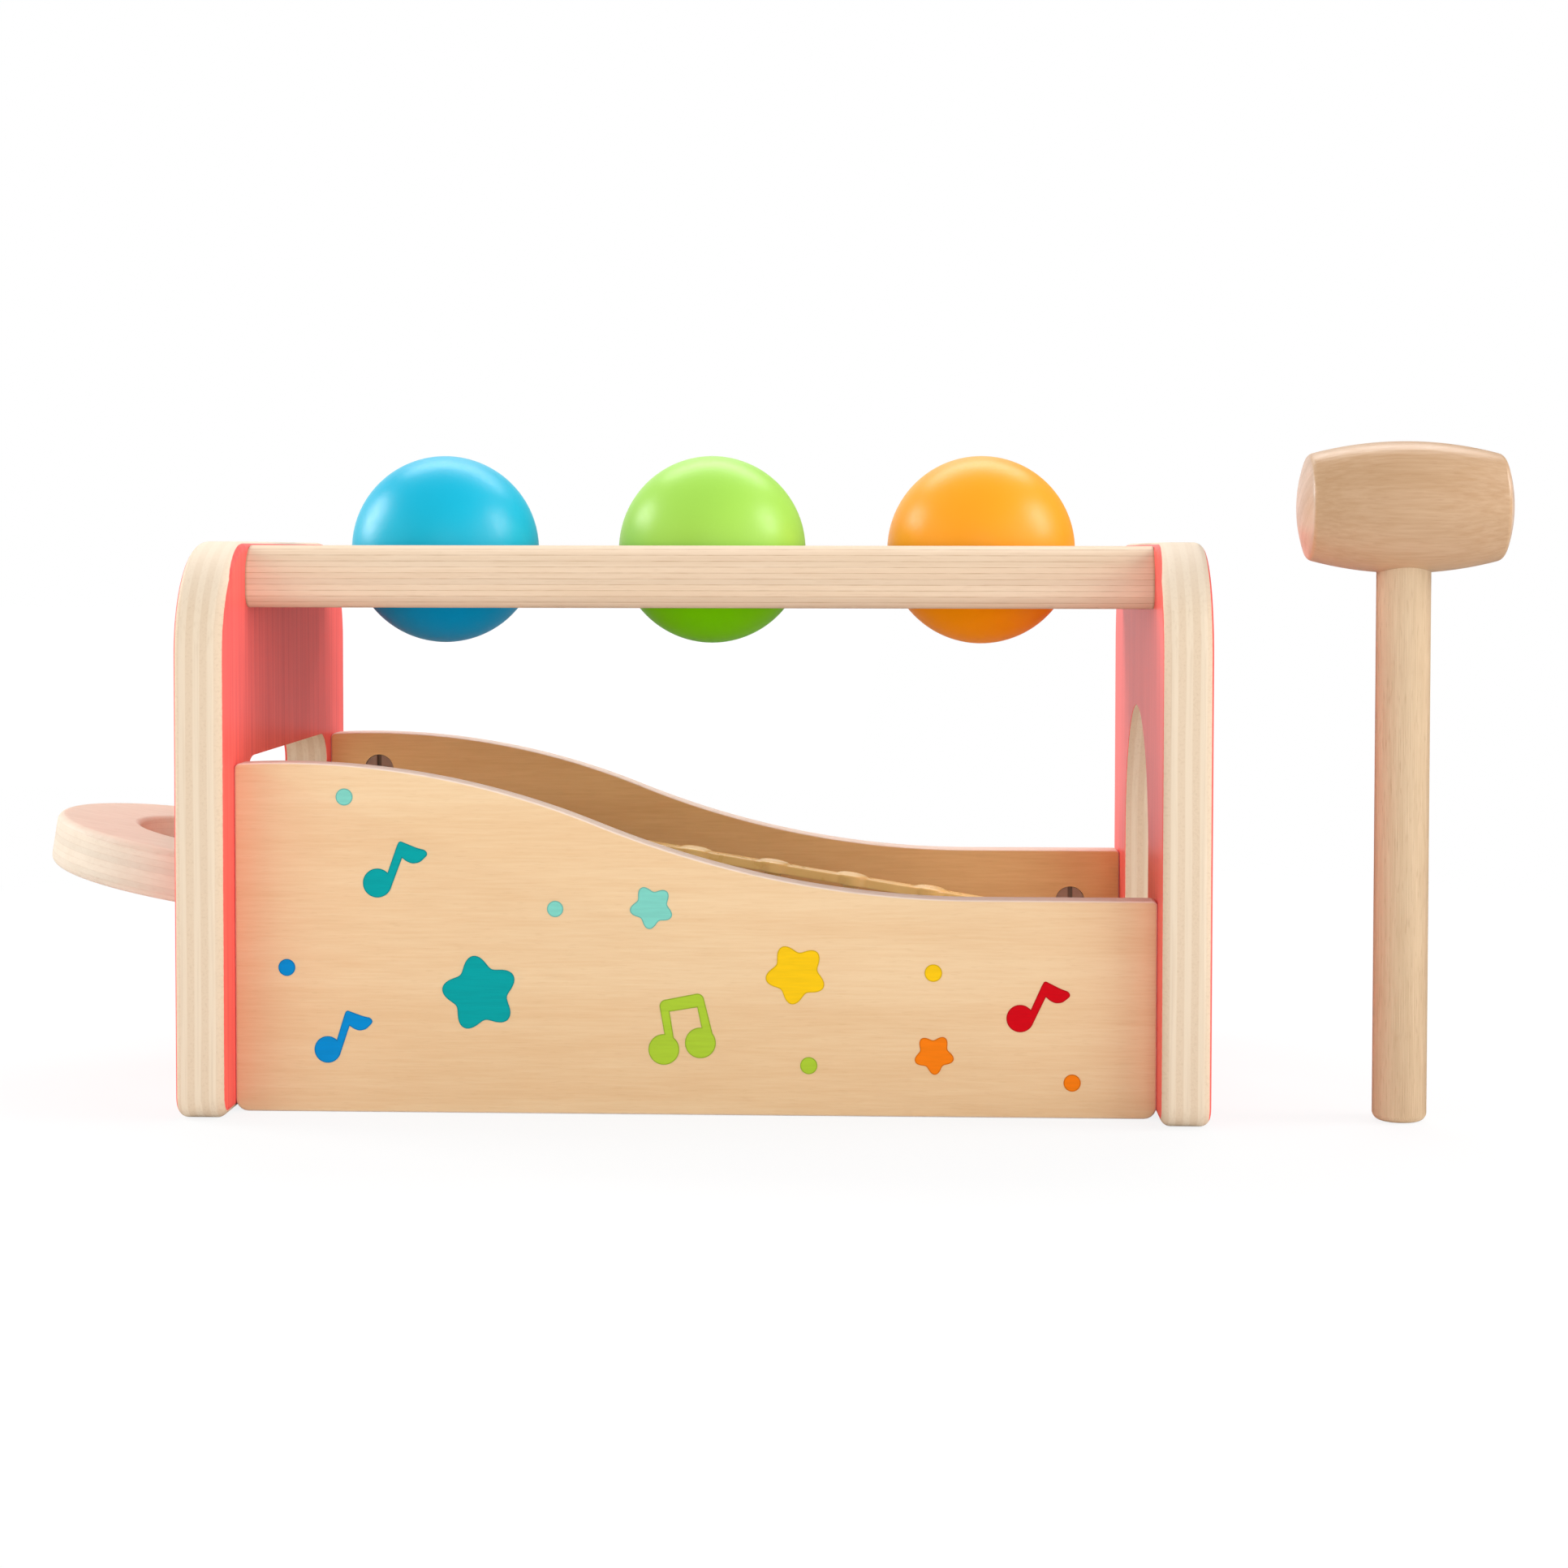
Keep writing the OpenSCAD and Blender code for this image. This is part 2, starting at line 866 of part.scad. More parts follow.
// Points along an arc, without its first point, where the outline already is
function arc(c, r, a1, a2) =
    [for (k = [1 : arc_steps]) let (a = a1 + (a2 - a1) * k / arc_steps) c + r * [cos(a), sin(a)]];

// The head's section on one side of its axis: X out from the axis, Y along it
module head_section() {
    barrel_r = (pow(head_l, 2) + pow(head_mid_d - head_end_d, 2)) / (4 * (head_mid_d - head_end_d));
    barrel_c = [head_mid_d / 2 - barrel_r, 0];
    dome_c = [0, head_l / 2 - head_dome_r];
    rim_c = crossing(dome_c, head_dome_r - head_rim_r, barrel_c, barrel_r - head_rim_r);
    barrel_a = angle_to(barrel_c, rim_c);
    dome_a = angle_to(dome_c, rim_c);
    half = concat([[head_mid_d / 2, 0]],
        arc(barrel_c, barrel_r, 0, barrel_a),
        arc(rim_c, head_rim_r, barrel_a, dome_a),
        arc(dome_c, head_dome_r, dome_a, 90));
    other_half = [for (k = [len(half) - 1 : -1 : 1]) [half[k][0], -half[k][1]]];
    polygon(concat(half, other_half));
}

module mallet_head() {
    color(beech)
        bench()
            translate([mallet_x, mallet_y, mallet_head_z])
                difference() {
                    rotate([0, 90, 0])
                        rotate_extrude()
                            head_section();
                    translate([0, 0, -mallet_head_z - past])
                        cylinder(d = handle_d + 2 * handle_gap, h = handle_l + handle_gap + past);
                }
}

module mallet_handle() {
    color(basswood)
        bench()
            translate([mallet_x, mallet_y, 0])
                rotate_extrude()
                    edge_section(handle_d / 2, handle_l, handle_end_r);
}

left_end_panel();
right_end_panel();
top_board();
front_panel();
back_panel();
front_rail();
back_rail();
elastic_ring(1);  // ring_left
elastic_ring(2);  // ring_middle
elastic_ring(3);  // ring_right
side_bolts();
top_bolts();
side_barrel_nuts();
top_barrel_nuts();
side_dowels();
top_dowels();
xylophone_board();
for (i = [1 : bar_count])
    chime_bar(i);
retaining_strip(-1);  // front_strip
retaining_strip(1);  // back_strip
felt(-1);  // front_felt
felt(1);  // back_felt
ball(1, [0.05, 0.72, 0.90]);  // blue_ball
ball(2, [0.58, 0.82, 0.32]);  // green_ball
ball(3, [1.0, 0.62, 0.10]);  // orange_ball
mallet_head();
mallet_handle();
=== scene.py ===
# %% [markdown]
# # A ball pounding bench with a pull-out xylophone
# The toy is a low wooden bench. Three painted balls sit in the holes of its top board, and a
# mallet knocks them down on to the bars of a small xylophone, which slides out at the left. The
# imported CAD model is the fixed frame: it holds every size and every joint. This lesson keeps the
# CAD pieces whose shape is right and gives them finishes, and models again, softer and finer,
# those whose edges or curves show.

# %% The frame and its box
import math

import bmesh
import bpy
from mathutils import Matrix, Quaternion, Vector


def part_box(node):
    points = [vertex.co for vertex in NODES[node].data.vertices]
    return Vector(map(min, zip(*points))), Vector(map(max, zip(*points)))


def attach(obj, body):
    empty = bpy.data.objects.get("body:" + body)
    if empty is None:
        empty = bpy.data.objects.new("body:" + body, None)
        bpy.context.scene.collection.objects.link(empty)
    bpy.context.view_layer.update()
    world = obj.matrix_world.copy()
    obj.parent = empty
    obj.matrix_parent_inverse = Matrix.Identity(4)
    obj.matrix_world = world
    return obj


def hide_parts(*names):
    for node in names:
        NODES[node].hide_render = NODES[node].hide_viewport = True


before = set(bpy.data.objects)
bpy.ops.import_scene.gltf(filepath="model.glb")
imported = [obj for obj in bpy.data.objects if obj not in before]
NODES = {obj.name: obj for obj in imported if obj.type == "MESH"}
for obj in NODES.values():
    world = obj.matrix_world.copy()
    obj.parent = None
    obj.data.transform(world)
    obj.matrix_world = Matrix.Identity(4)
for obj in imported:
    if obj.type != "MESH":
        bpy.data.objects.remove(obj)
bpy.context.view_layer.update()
MM = 0.001

# %% [markdown]
# ## The camera
# The photograph was taken from a little right of the middle, at about the height of the top board,
# with a long lens that was raised or cropped rather than tilted. A lens shift gives that crop
# without making the end panels lean. The turn, the tilt and a trace of roll are three quaternions
# in a row, which is easier to read than one set of angles.

# %% Camera
CAMERA_PLACE = Vector((37.663, -726.765, 134.738)) * MM
CAMERA_YAW, CAMERA_PITCH, CAMERA_ROLL = 0.0405, 0.0351, 0.0012
LENS_MM, SHIFT_UP = 64.233, -0.0845

bpy.ops.object.select_all(action="DESELECT")
bpy.ops.object.camera_add(location=CAMERA_PLACE)
camera = bpy.context.object
camera.name = "camera"
turn = Quaternion((0, 0, 1), CAMERA_YAW)
tilt_down = Quaternion((1, 0, 0), math.pi / 2 - CAMERA_PITCH)
roll = Quaternion((0, 0, 1), CAMERA_ROLL)
camera.rotation_euler = (turn @ tilt_down @ roll).to_euler()
camera.data.lens = LENS_MM
camera.data.shift_y = SHIFT_UP
bpy.context.scene.camera = camera
print("camera at", [round(v, 3) for v in camera.location], "lens", LENS_MM)

# %% [markdown]
# ## Nodes without wires
# A finish is a small tree of nodes. A few helpers keep the trees readable: one starts a material,
# one adds a node and joins or sets its inputs, and the others do arithmetic, mix, and turn one
# range of values into another. A value that is the same all over is set on the shader's own
# socket, so that it survives an export.

# %% Node helpers
def new_finish(name, fixed):
    finish = bpy.data.materials.new(name)
    finish.use_nodes = True
    shader = finish.node_tree.nodes["Principled BSDF"]
    for socket, value in fixed.items():
        shader.inputs[socket].default_value = value
    return finish, finish.node_tree, shader


def add(tree, kind, inputs=None, **settings):
    node = tree.nodes.new("ShaderNode" + kind)
    for key, value in settings.items():
        setattr(node, key, value)
    for key, value in (inputs or {}).items():
        if isinstance(value, bpy.types.NodeSocket):
            tree.links.new(value, node.inputs[key])
        else:
            node.inputs[key].default_value = value
    return node


def calc(tree, operation, a, b=0.0):
    return add(tree, "Math", {0: a, 1: b}, operation=operation).outputs[0]


def distance(tree, value, point):
    return calc(tree, "ABSOLUTE", calc(tree, "SUBTRACT", value, point))


def weigh(tree, a, share, b):
    rest = calc(tree, "MULTIPLY", b, 1.0 - share)
    return calc(tree, "ADD", calc(tree, "MULTIPLY", a, share), rest)


def mix_colours(tree, factor, a, b, mode="MIX"):
    return add(tree, "Mix", {0: factor, 6: a, 7: b}, data_type="RGBA", blend_type=mode).outputs[2]


def mix_values(tree, factor, a, b):
    return add(tree, "Mix", {0: factor, 2: a, 3: b}).outputs[0]


def shade_by(tree, colour, level):
    grey = add(tree, "CombineColor", {0: level, 1: level, 2: level}).outputs[0]
    return mix_colours(tree, 1.0, colour, grey, "MULTIPLY")


def ramp(tree, factor, stops):
    node = add(tree, "ValToRGB", {"Fac": factor})
    elements = node.color_ramp.elements
    while len(elements) < len(stops):
        elements.new(0.5)
    for element, (place, colour) in zip(elements, sorted(stops)):
        element.position = place
        element.color = (*colour, 1.0)
    return node.outputs["Color"]


def remap(tree, value, low, high, to_low=0.0, to_high=1.0):
    inputs = {"Value": value, "From Min": low, "From Max": high,
              "To Min": to_low, "To Max": to_high}
    return add(tree, "MapRange", inputs).outputs["Result"]


def dress(finish, *nodes):
    for node in nodes:
        mesh = NODES[node].data
        for index in range(len(mesh.materials)):
            mesh.materials[index] = finish
        print(finish.name, "on", node)


def opened(finish):
    """A finish's tree, its shader's colour socket, and the colour that is joined to that socket."""
    socket = finish.node_tree.nodes["Principled BSDF"].inputs["Base Color"]
    return finish.node_tree, socket, socket.links[0].from_socket


# %% [markdown]
# ## Wood in three dimensions
# Every wooden piece here is cut from a block, so its grain is a solid pattern and not a picture
# laid on the surface: a sawn edge then shows end grain by itself. A Mapping node squeezes the
# place along the grain, which draws the specks of a noise out into fibres. Broad bands, fine
# fibres and a few dark flecks together give the quiet, pale look of basswood and beech.

# %% Wood helpers
FIBRES, PORES, BAND_LENGTH = (80.0, 1500.0), (260.0, 2600.0), 5.0


def noise(tree, place, scale, detail=2.0, roughness=0.5):
    squeezed = add(tree, "Mapping", {"Vector": place, "Scale": scale}).outputs[0]
    inputs = {"Vector": squeezed, "Scale": 1.0, "Detail": detail, "Roughness": roughness}
    return add(tree, "TexNoise", inputs).outputs["Fac"]


def stretch(grain, along, across):
    return tuple(along if axis == grain else across for axis in range(3))


def object_place(tree, turned=(0.0, 0.0, 0.0)):
    place = add(tree, "TexCoord").outputs["Object"]
    if any(turned):
        place = add(tree, "Mapping", {"Vector": place, "Rotation": turned}).outputs[0]
    return place


def wood_grain(tree, place, grain, pale, deep, fleck, band_width, fleck_share):
    fibres = noise(tree, place, stretch(grain, *FIBRES), detail=3.0)
    bands = noise(tree, place, stretch(grain, BAND_LENGTH, band_width), detail=3.0, roughness=0.6)
    pores = noise(tree, place, stretch(grain, *PORES), detail=1.0)
    tone = weigh(tree, fibres, 0.4, bands)
    colour = ramp(tree, tone, [(0.36, deep), (0.62, pale)])
    dark = remap(tree, pores, 0.58, 0.8, 0.0, fleck_share)
    return mix_colours(tree, dark, colour, (*fleck, 1.0)), fibres


def tint(tree, shader, colour):
    tree.links.new(colour, shader.inputs["Base Color"])


def roughen(tree, shader, pattern, low, high):
    """Varies the roughness by a noise, whose values mostly lie between 0.3 and 0.7."""
    tree.links.new(remap(tree, pattern, 0.3, 0.7, low, high), shader.inputs["Roughness"])


def grain_relief(tree, shader, height, strength, depth=0.2 * MM):
    bump = add(tree, "Bump", {"Height": height, "Strength": strength, "Distance": depth})
    tree.links.new(bump.outputs["Normal"], shader.inputs["Normal"])


def component(tree, place, axis):
    return add(tree, "SeparateXYZ", {"Vector": place}).outputs[axis]


BASSWOOD_PALE, BASSWOOD_DEEP = (0.800, 0.580, 0.350), (0.745, 0.500, 0.280)
BASSWOOD_FLECK = (0.52, 0.28, 0.12)


def plain_wood(name, grain, pale, deep, fleck, band_width=70.0, fleck_share=0.3,
               shine=0.22, dull=0.54):
    finish, tree, shader = new_finish(name, {"Specular IOR Level": shine})
    place = object_place(tree)
    colour, fibres = wood_grain(tree, place, grain, pale, deep, fleck, band_width, fleck_share)
    tint(tree, shader, colour)
    roughen(tree, shader, fibres, dull - 0.08, dull + 0.08)
    grain_relief(tree, shader, fibres, 0.25)
    return finish


# %% [markdown]
# ## The stage
# The toy stands on a plain white floor, as in a product studio. The floor and the world look white
# to the camera alone: they light the toy at a plain level, and the floor still takes the toy's
# shadow. Reflections see the white backdrop behind the toy, which gives the coral its pale sheen,
# and a dim room elsewhere, so that the balls keep their colour.

# %% Floor
DIM_ROOM, BACKDROP_WHITE, BACKDROP_ASIDE = 0.08, 1.05, 0.25
FLOOR_SIZE, FLOOR_DROP = 12.0, 0.0001
SHADOW_REACH, SHADOW_WHITE, GLOSSY_SHARE = (0.2, 0.5), 0.85, 0.8


def backdrop(tree, back, aside):
    place = object_place(tree)
    white = remap(tree, component(tree, place, "Y"), *back, DIM_ROOM, BACKDROP_WHITE)
    fade = remap(tree, component(tree, place, "X"), *aside, 1.0, BACKDROP_ASIDE)
    return calc(tree, "MULTIPLY", white, fade)


bpy.ops.object.select_all(action="DESELECT")
bpy.ops.mesh.primitive_plane_add(size=FLOOR_SIZE, location=(0, 0, -FLOOR_DROP))
floor = bpy.context.object
floor.name = "studio_floor"
white, tree, shader = new_finish("studio_white", {"Base Color": (0.82, 0.82, 0.82, 1),
                                                 "Roughness": 0.9, "Specular IOR Level": 0.0})
path = add(tree, "LightPath").outputs
behind = backdrop(tree, (0.2, 0.9), (0.0, 0.2))
brightness = calc(tree, "MAXIMUM", path["Is Camera Ray"], behind)
glow = add(tree, "Emission", {"Color": (1, 1, 1, 1), "Strength": brightness})
far = add(tree, "VectorMath", {0: object_place(tree)}, operation="LENGTH").outputs["Value"]
near_white = remap(tree, far, *SHADOW_REACH, SHADOW_WHITE, 1.0)
white_share = calc(tree, "MULTIPLY", path["Is Camera Ray"], near_white)
dim_share = calc(tree, "MULTIPLY", path["Is Glossy Ray"], GLOSSY_SHARE)
share = calc(tree, "MAXIMUM", white_share, dim_share)
mixed = add(tree, "MixShader", {0: share, 1: shader.outputs[0], 2: glow.outputs[0]})
tree.links.new(mixed.outputs[0], tree.nodes["Material Output"].inputs["Surface"])
floor.data.materials.append(white)
print("white floor,", FLOOR_SIZE, "m wide")

# %% [markdown]
# ## The world
# The world lights the toy evenly from all round. A Light Path node tells who is looking: the
# camera sees pure white, a reflection sees the backdrop or the dim room, and everything else gets
# the plain level.

# %% World
AMBIENT = 0.50
world = bpy.data.worlds.new("studio_world")
bpy.context.scene.world = world
world.use_nodes = True
tree = world.node_tree
path = add(tree, "LightPath").outputs
behind = backdrop(tree, (0.6, 0.9), (0.05, 0.2))
plain = mix_values(tree, path["Is Glossy Ray"], AMBIENT, behind)
level = calc(tree, "MAXIMUM", path["Is Camera Ray"], plain)
background = tree.nodes["Background"]
background.inputs["Color"].default_value = (1, 1, 1, 1)
tree.links.new(level, background.inputs["Strength"])
print("ambient", AMBIENT)

# %% [markdown]
# ## The lights
# Six soft lights stand round the toy: one on each side, one above and behind, and three in front.
# The balls show the first three as broad highlights near their rims. Those in front are bounced
# lights: reflections do not see them, so they leave no highlight.

# %% Lights
SOFTBOXES = {
    "softbox_left": ((-0.95, 0.20, 0.50), (0.42, 0.48), 6.4, True),
    "softbox_right": ((1.0, -0.10, 0.64), (0.42, 0.48), 6.2, True),
    "softbox_back": ((0.0, 0.60, 0.95), (1.2, 0.30), 6.6, True),
    "bounce_left": ((-1.0, -0.80, 0.50), (0.7, 0.8), 3.3, False),
    "bounce_right": ((1.05, -0.80, 0.50), (0.7, 0.8), 4.8, False),
    "bounce_front": ((0.10, -1.30, 0.40), (0.8, 0.5), 3.0, False),
}
LIT_POINT = Vector((0.0, 0.0, 0.08))

for name, (place, size, watts, shines) in SOFTBOXES.items():
    bpy.ops.object.light_add(type="AREA", location=place)
    light = bpy.context.object
    light.name = name
    light.data.shape = "RECTANGLE"
    light.data.size, light.data.size_y = size
    light.data.energy = watts
    light.visible_glossy = shines
    light.rotation_euler = (LIT_POINT - Vector(place)).to_track_quat("-Z", "Y").to_euler()
bpy.context.scene.view_settings.view_transform = "Standard"
print(len(SOFTBOXES), "soft lights")

# %% [markdown]
# ## The end panels
# Each end is a slab of seven-ply wood, painted coral on its two faces only; the edges were sanded
# and varnished after painting, so that the plies show as cream and tan stripes. The CAD slab has
# the right outline and rounded edges, and only needs its finish. The stripes are a function of the
# depth into the slab, so they run on through the slot and the arch. Over the upper corners they
# fade into a paler colour, a painted light from above. The paint is thin: the veneer's upright
# grain still shows in it as fine streaks.

# %% Coral paint on seven-ply
CORAL, CORAL_DEEP = (0.98, 0.130, 0.112), (0.83, 0.085, 0.082)
PLY_CREAM, PLY_TAN, PLY_FLECK = (0.750, 0.620, 0.470), (0.700, 0.553, 0.402), (0.45, 0.29, 0.16)
PLY_PAIRS, PLY_WANDER, PLY_CHANGE = 3.5, 0.03, (0.46, 0.54)
OUTER_PAINT, INNER_PAINT, TOP_PAINT, CREEP = 0.045, 0.012, 0.085, 8.5 * MM
PAINT_RAGGED, PAINT_SOFT, PAINT_ROUGH, PLY_ROUGH = 0.004, 0.003, 0.36, 0.58
PLY_TOP_LIT, TOP_LIT_SHARE = (0.800, 0.685, 0.555), 0.65
top_low, top_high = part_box("top_board")


def coral_ply(name, outer_x, inner_x):
    finish, tree, shader = new_finish(name, {"Specular IOR Level": 0.11})
    place = object_place(tree)
    depth = remap(tree, component(tree, place, "X"), outer_x, inner_x)
    height = component(tree, place, "Z")
    wander = noise(tree, place, (40.0, 40.0, 18.0))
    wavy = calc(tree, "ADD", depth, remap(tree, wander, 0.0, 1.0, -PLY_WANDER, PLY_WANDER))
    pair = calc(tree, "FRACT", calc(tree, "MULTIPLY", wavy, PLY_PAIRS))
    ply = ramp(tree, pair, [(0.0, PLY_TAN), (PLY_CHANGE[0], PLY_TAN), (PLY_CHANGE[1], PLY_CREAM),
                            (0.95, PLY_CREAM), (1.0, PLY_TAN)])
    upright = noise(tree, place, stretch(2, 30.0, 1700.0), detail=3.0)
    level = noise(tree, place, stretch(1, 160.0, 1700.0), detail=3.0)
    fibre = mix_values(tree, remap(tree, pair, *PLY_CHANGE), level, upright)
    ply = mix_colours(tree, remap(tree, fibre, 0.5, 0.8, 0.0, 0.25), ply, (*PLY_FLECK, 1.0))
    # A painted light: the plies turn paler towards the top, as if lit from above, and their stripes
    # fade.
    top_lit = remap(tree, height, top_low.z, top_high.z, 0.0, TOP_LIT_SHARE)
    ply = mix_colours(tree, top_lit, ply, (*PLY_TOP_LIT, 1.0))
    veins = noise(tree, place, stretch(2, 14.0, 900.0), detail=4.0, roughness=0.6)
    paint = ramp(tree, veins, [(0.3, CORAL_DEEP), (0.6, CORAL)])
    specks = noise(tree, place, (900.0,) * 3)
    ragged = calc(tree, "ADD", depth, remap(tree, specks, 0.0, 1.0, -PAINT_RAGGED, PAINT_RAGGED))
    outside = remap(tree, ragged, OUTER_PAINT + PAINT_SOFT, OUTER_PAINT - PAINT_SOFT)
    reach = remap(tree, height, top_high.z - CREEP, top_high.z, INNER_PAINT, TOP_PAINT)
    inside = remap(tree, calc(tree, "ADD", ragged, reach), 0.998, 1.002)
    painted = calc(tree, "MAXIMUM", outside, inside)
    tint(tree, shader, mix_colours(tree, painted, ply, paint))
    rough = remap(tree, painted, 0.0, 1.0, PLY_ROUGH, PAINT_ROUGH)
    tree.links.new(rough, shader.inputs["Roughness"])
    grain_relief(tree, shader, mix_values(tree, painted, fibre, veins), 0.22)
    return finish


for side in ("left", "right"):
    low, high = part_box(side + "_end_panel")
    outer_x, inner_x = (low.x, high.x) if side == "left" else (high.x, low.x)
    dress(coral_ply("coral_ply_" + side, outer_x, inner_x), side + "_end_panel")

# %% [markdown]
# ## The top board
# The top is glued up from many thin veneers that all run lengthwise. On its rounded front edge
# they show as fine level lines, dark and broken where the glue soaked in. The height divided by
# the veneer's thickness gives each layer its number: the whole part picks the layer's own tone,
# and the fraction tells how near the next glue line is. The last half millimetre or so at either
# end is painted darker: a painted shade, where the board meets the end panels.

# %% Laminated wood
VENEER, LAYER_WANDER, LAYER_TONE, GLUE_LINE = 1.43 * MM, 0.05, 0.92, (0.42, 0.46)
TOP_PALE, TOP_DEEP, TOP_FLECK = (0.775, 0.600, 0.435), (0.725, 0.540, 0.375), (0.42, 0.24, 0.13)
TOP_LINES, SEAM_WIDTH, SEAM_SHADE = 0.6, 0.6 * MM, 0.75


def laminated(name, origin, veneer, pale, deep, fleck, line_strength, turned=(0.0, 0.0, 0.0)):
    finish, tree, shader = new_finish(name, {"Specular IOR Level": 0.22})
    place = object_place(tree, turned)
    wander = noise(tree, place, (9.0,) * 3)
    wander = remap(tree, wander, 0.0, 1.0, -LAYER_WANDER, LAYER_WANDER)
    above = calc(tree, "SUBTRACT", component(tree, place, "Z"), origin)
    height = calc(tree, "ADD", calc(tree, "DIVIDE", above, veneer), wander)
    number = calc(tree, "FLOOR", height)
    layer = add(tree, "TexWhiteNoise", {"W": number}, noise_dimensions="1D").outputs["Value"]
    colour, fibres = wood_grain(tree, place, 0, pale, deep, fleck,
                                band_width=240.0, fleck_share=0.12)
    colour = shade_by(tree, colour, remap(tree, layer, 0.0, 1.0, LAYER_TONE, 1.0))
    line = remap(tree, distance(tree, calc(tree, "FRACT", height), 0.5), *GLUE_LINE)
    soaked = noise(tree, place, stretch(0, 170.0, 900.0), detail=3.0)
    broken = remap(tree, soaked, 0.35, 0.65, 0.35, 1.0)
    glue = calc(tree, "MULTIPLY", calc(tree, "MULTIPLY", line, broken), line_strength)
    colour = mix_colours(tree, glue, colour, (*fleck, 1.0))
    tint(tree, shader, colour)
    roughen(tree, shader, fibres, 0.45, 0.6)
    grain_relief(tree, shader, calc(tree, "SUBTRACT", fibres, glue), 0.25)
    return finish


top_finish = laminated("laminated_top", top_low.z, VENEER, TOP_PALE, TOP_DEEP, TOP_FLECK, TOP_LINES)
tree, skin, wood = opened(top_finish)
middle_x, half_x = (top_low.x + top_high.x) / 2, (top_high.x - top_low.x) / 2
off_middle = distance(tree, component(tree, object_place(tree), "X"), middle_x)
# A painted shade: the last SEAM_WIDTH at either end is darkened towards the fleck colour, where the
# board meets the end panels.
seam_shade = remap(tree, off_middle, half_x - SEAM_WIDTH, half_x, 0.0, SEAM_SHADE)
tree.links.new(mix_colours(tree, seam_shade, wood, (*TOP_FLECK, 1.0)), skin)
dress(top_finish, "top_board")

# %% [markdown]
# ## Picking and drawing by code
# Work in edit mode is the same by hand and by code: pick some points, edges or faces, then use an
# operator on them. These helpers pick by place, draw an outline one extruded point at a time, and
# leave a finished piece at the origin with its place in its mesh.

# %% Modelling helpers
SAME_PLACE = 1e-6


def clear_table():
    if bpy.context.mode != "OBJECT":
        bpy.ops.object.mode_set(mode="OBJECT")
    bpy.ops.object.select_all(action="DESELECT")


def focus(piece):
    clear_table()
    piece.select_set(True)
    bpy.context.view_layer.objects.active = piece


def name_piece(name):
    piece = bpy.context.object
    piece.name = piece.data.name = name
    bpy.ops.object.transform_apply(location=True, rotation=True, scale=True)
    return piece


def pick(kind, test):
    mode = {"verts": "VERT", "edges": "EDGE", "faces": "FACE"}[kind]
    bpy.ops.object.mode_set(mode="EDIT")
    bpy.ops.mesh.select_mode(type=mode)
    bpy.ops.mesh.select_all(action="DESELECT")
    mesh = bmesh.from_edit_mesh(bpy.context.object.data)
    for part in getattr(mesh, kind):
        part.select_set(bool(test(part)))
    mesh.select_flush_mode()
    bmesh.update_edit_mesh(bpy.context.object.data)


def pick_all():
    bpy.ops.mesh.select_all(action="SELECT")


def middle(part):
    return sum((v.co for v in part.verts), Vector()) / len(part.verts)


def push(x=0.0, y=0.0, z=0.0):
    bpy.ops.mesh.extrude_region_move(TRANSFORM_OT_translate={"value": (x, y, z)})


def start_outline(name, point):
    clear_table()
    bpy.ops.mesh.primitive_plane_add(size=MM, location=point)
    piece = name_piece(name)
    bpy.ops.object.mode_set(mode="EDIT")
    bpy.ops.mesh.select_mode(type="VERT")
    pick_all()
    bpy.ops.mesh.merge(type="CENTER")
    return piece


def pen():
    mesh = bmesh.from_edit_mesh(bpy.context.object.data)
    return next(v.co.copy() for v in mesh.verts if v.select)


def draw_to(*points):
    for point in points:
        push(*(Vector(point) - pen()))


def arc_about(centre, degrees, steps):
    """Draws an arc from the pen; a positive angle goes clockwise, seen by the camera."""
    bpy.ops.mesh.spin(steps=steps, angle=-math.radians(degrees), center=centre, axis=(0, 1, 0))


def fill_outline():
    pick_all()
    bpy.ops.mesh.remove_doubles(threshold=SAME_PLACE)
    bpy.ops.mesh.edge_face_add()


def outward():
    pick_all()
    bpy.ops.mesh.normals_make_consistent(inside=False)


# %% [markdown]
# ## Finishing a piece
# A modifier is applied as soon as it is made, so that the mesh itself holds the result. Every
# finished piece is handed over in the same way: shaded, given its finishes, and told which body it
# rides on and which CAD pieces it stands for.

# %% Finishing helpers
def use_modifier(piece, kind, **settings):
    modifier = piece.modifiers.new(kind.lower(), kind)
    for key, value in settings.items():
        setattr(modifier, key, value)
    bpy.context.view_layer.objects.active = piece
    bpy.ops.object.modifier_apply(modifier=modifier.name)


def ease_edges(piece, width, sharper_than=40.0):
    """Rounds every edge at which the surface turns by more than the given angle."""
    clear_table()
    use_modifier(piece, "BEVEL", width=width, segments=3, limit_method="ANGLE",
                 angle_limit=math.radians(sharper_than))


def cut_away(piece, cutter):
    use_modifier(piece, "BOOLEAN", operation="DIFFERENCE", object=cutter, solver="EXACT")
    bpy.data.objects.remove(cutter)


def hand_over(piece, body, slot, *nodes, finishes, smooth=30.0):
    """Shades a finished piece, gives it its finishes, and says what it rides on and stands for."""
    focus(piece)
    if smooth:
        bpy.ops.object.shade_smooth_by_angle(angle=math.radians(smooth))
    piece.data.materials.clear()
    for finish in finishes:
        piece.data.materials.append(finish)
    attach(piece, body)
    if nodes:
        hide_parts(*nodes)
    size = [round(v, 1) for v in piece.dimensions / MM]
    print(piece.name, size, "mm,", len(piece.data.polygons), "faces, rides", body)


# %% [markdown]
# ## The side panels
# Front and back are thin plywood with one long wave along the top: a crest arc that turns into a
# trough arc where their tangents meet, and a level end. Two spins of a single point draw the arcs
# exactly. Filled, with its corners eased, the outline is pushed to its thickness, and a bevel
# rounds the sawn edge, as sandpaper does. The barrel nuts' blind holes are drilled from the
# inside.

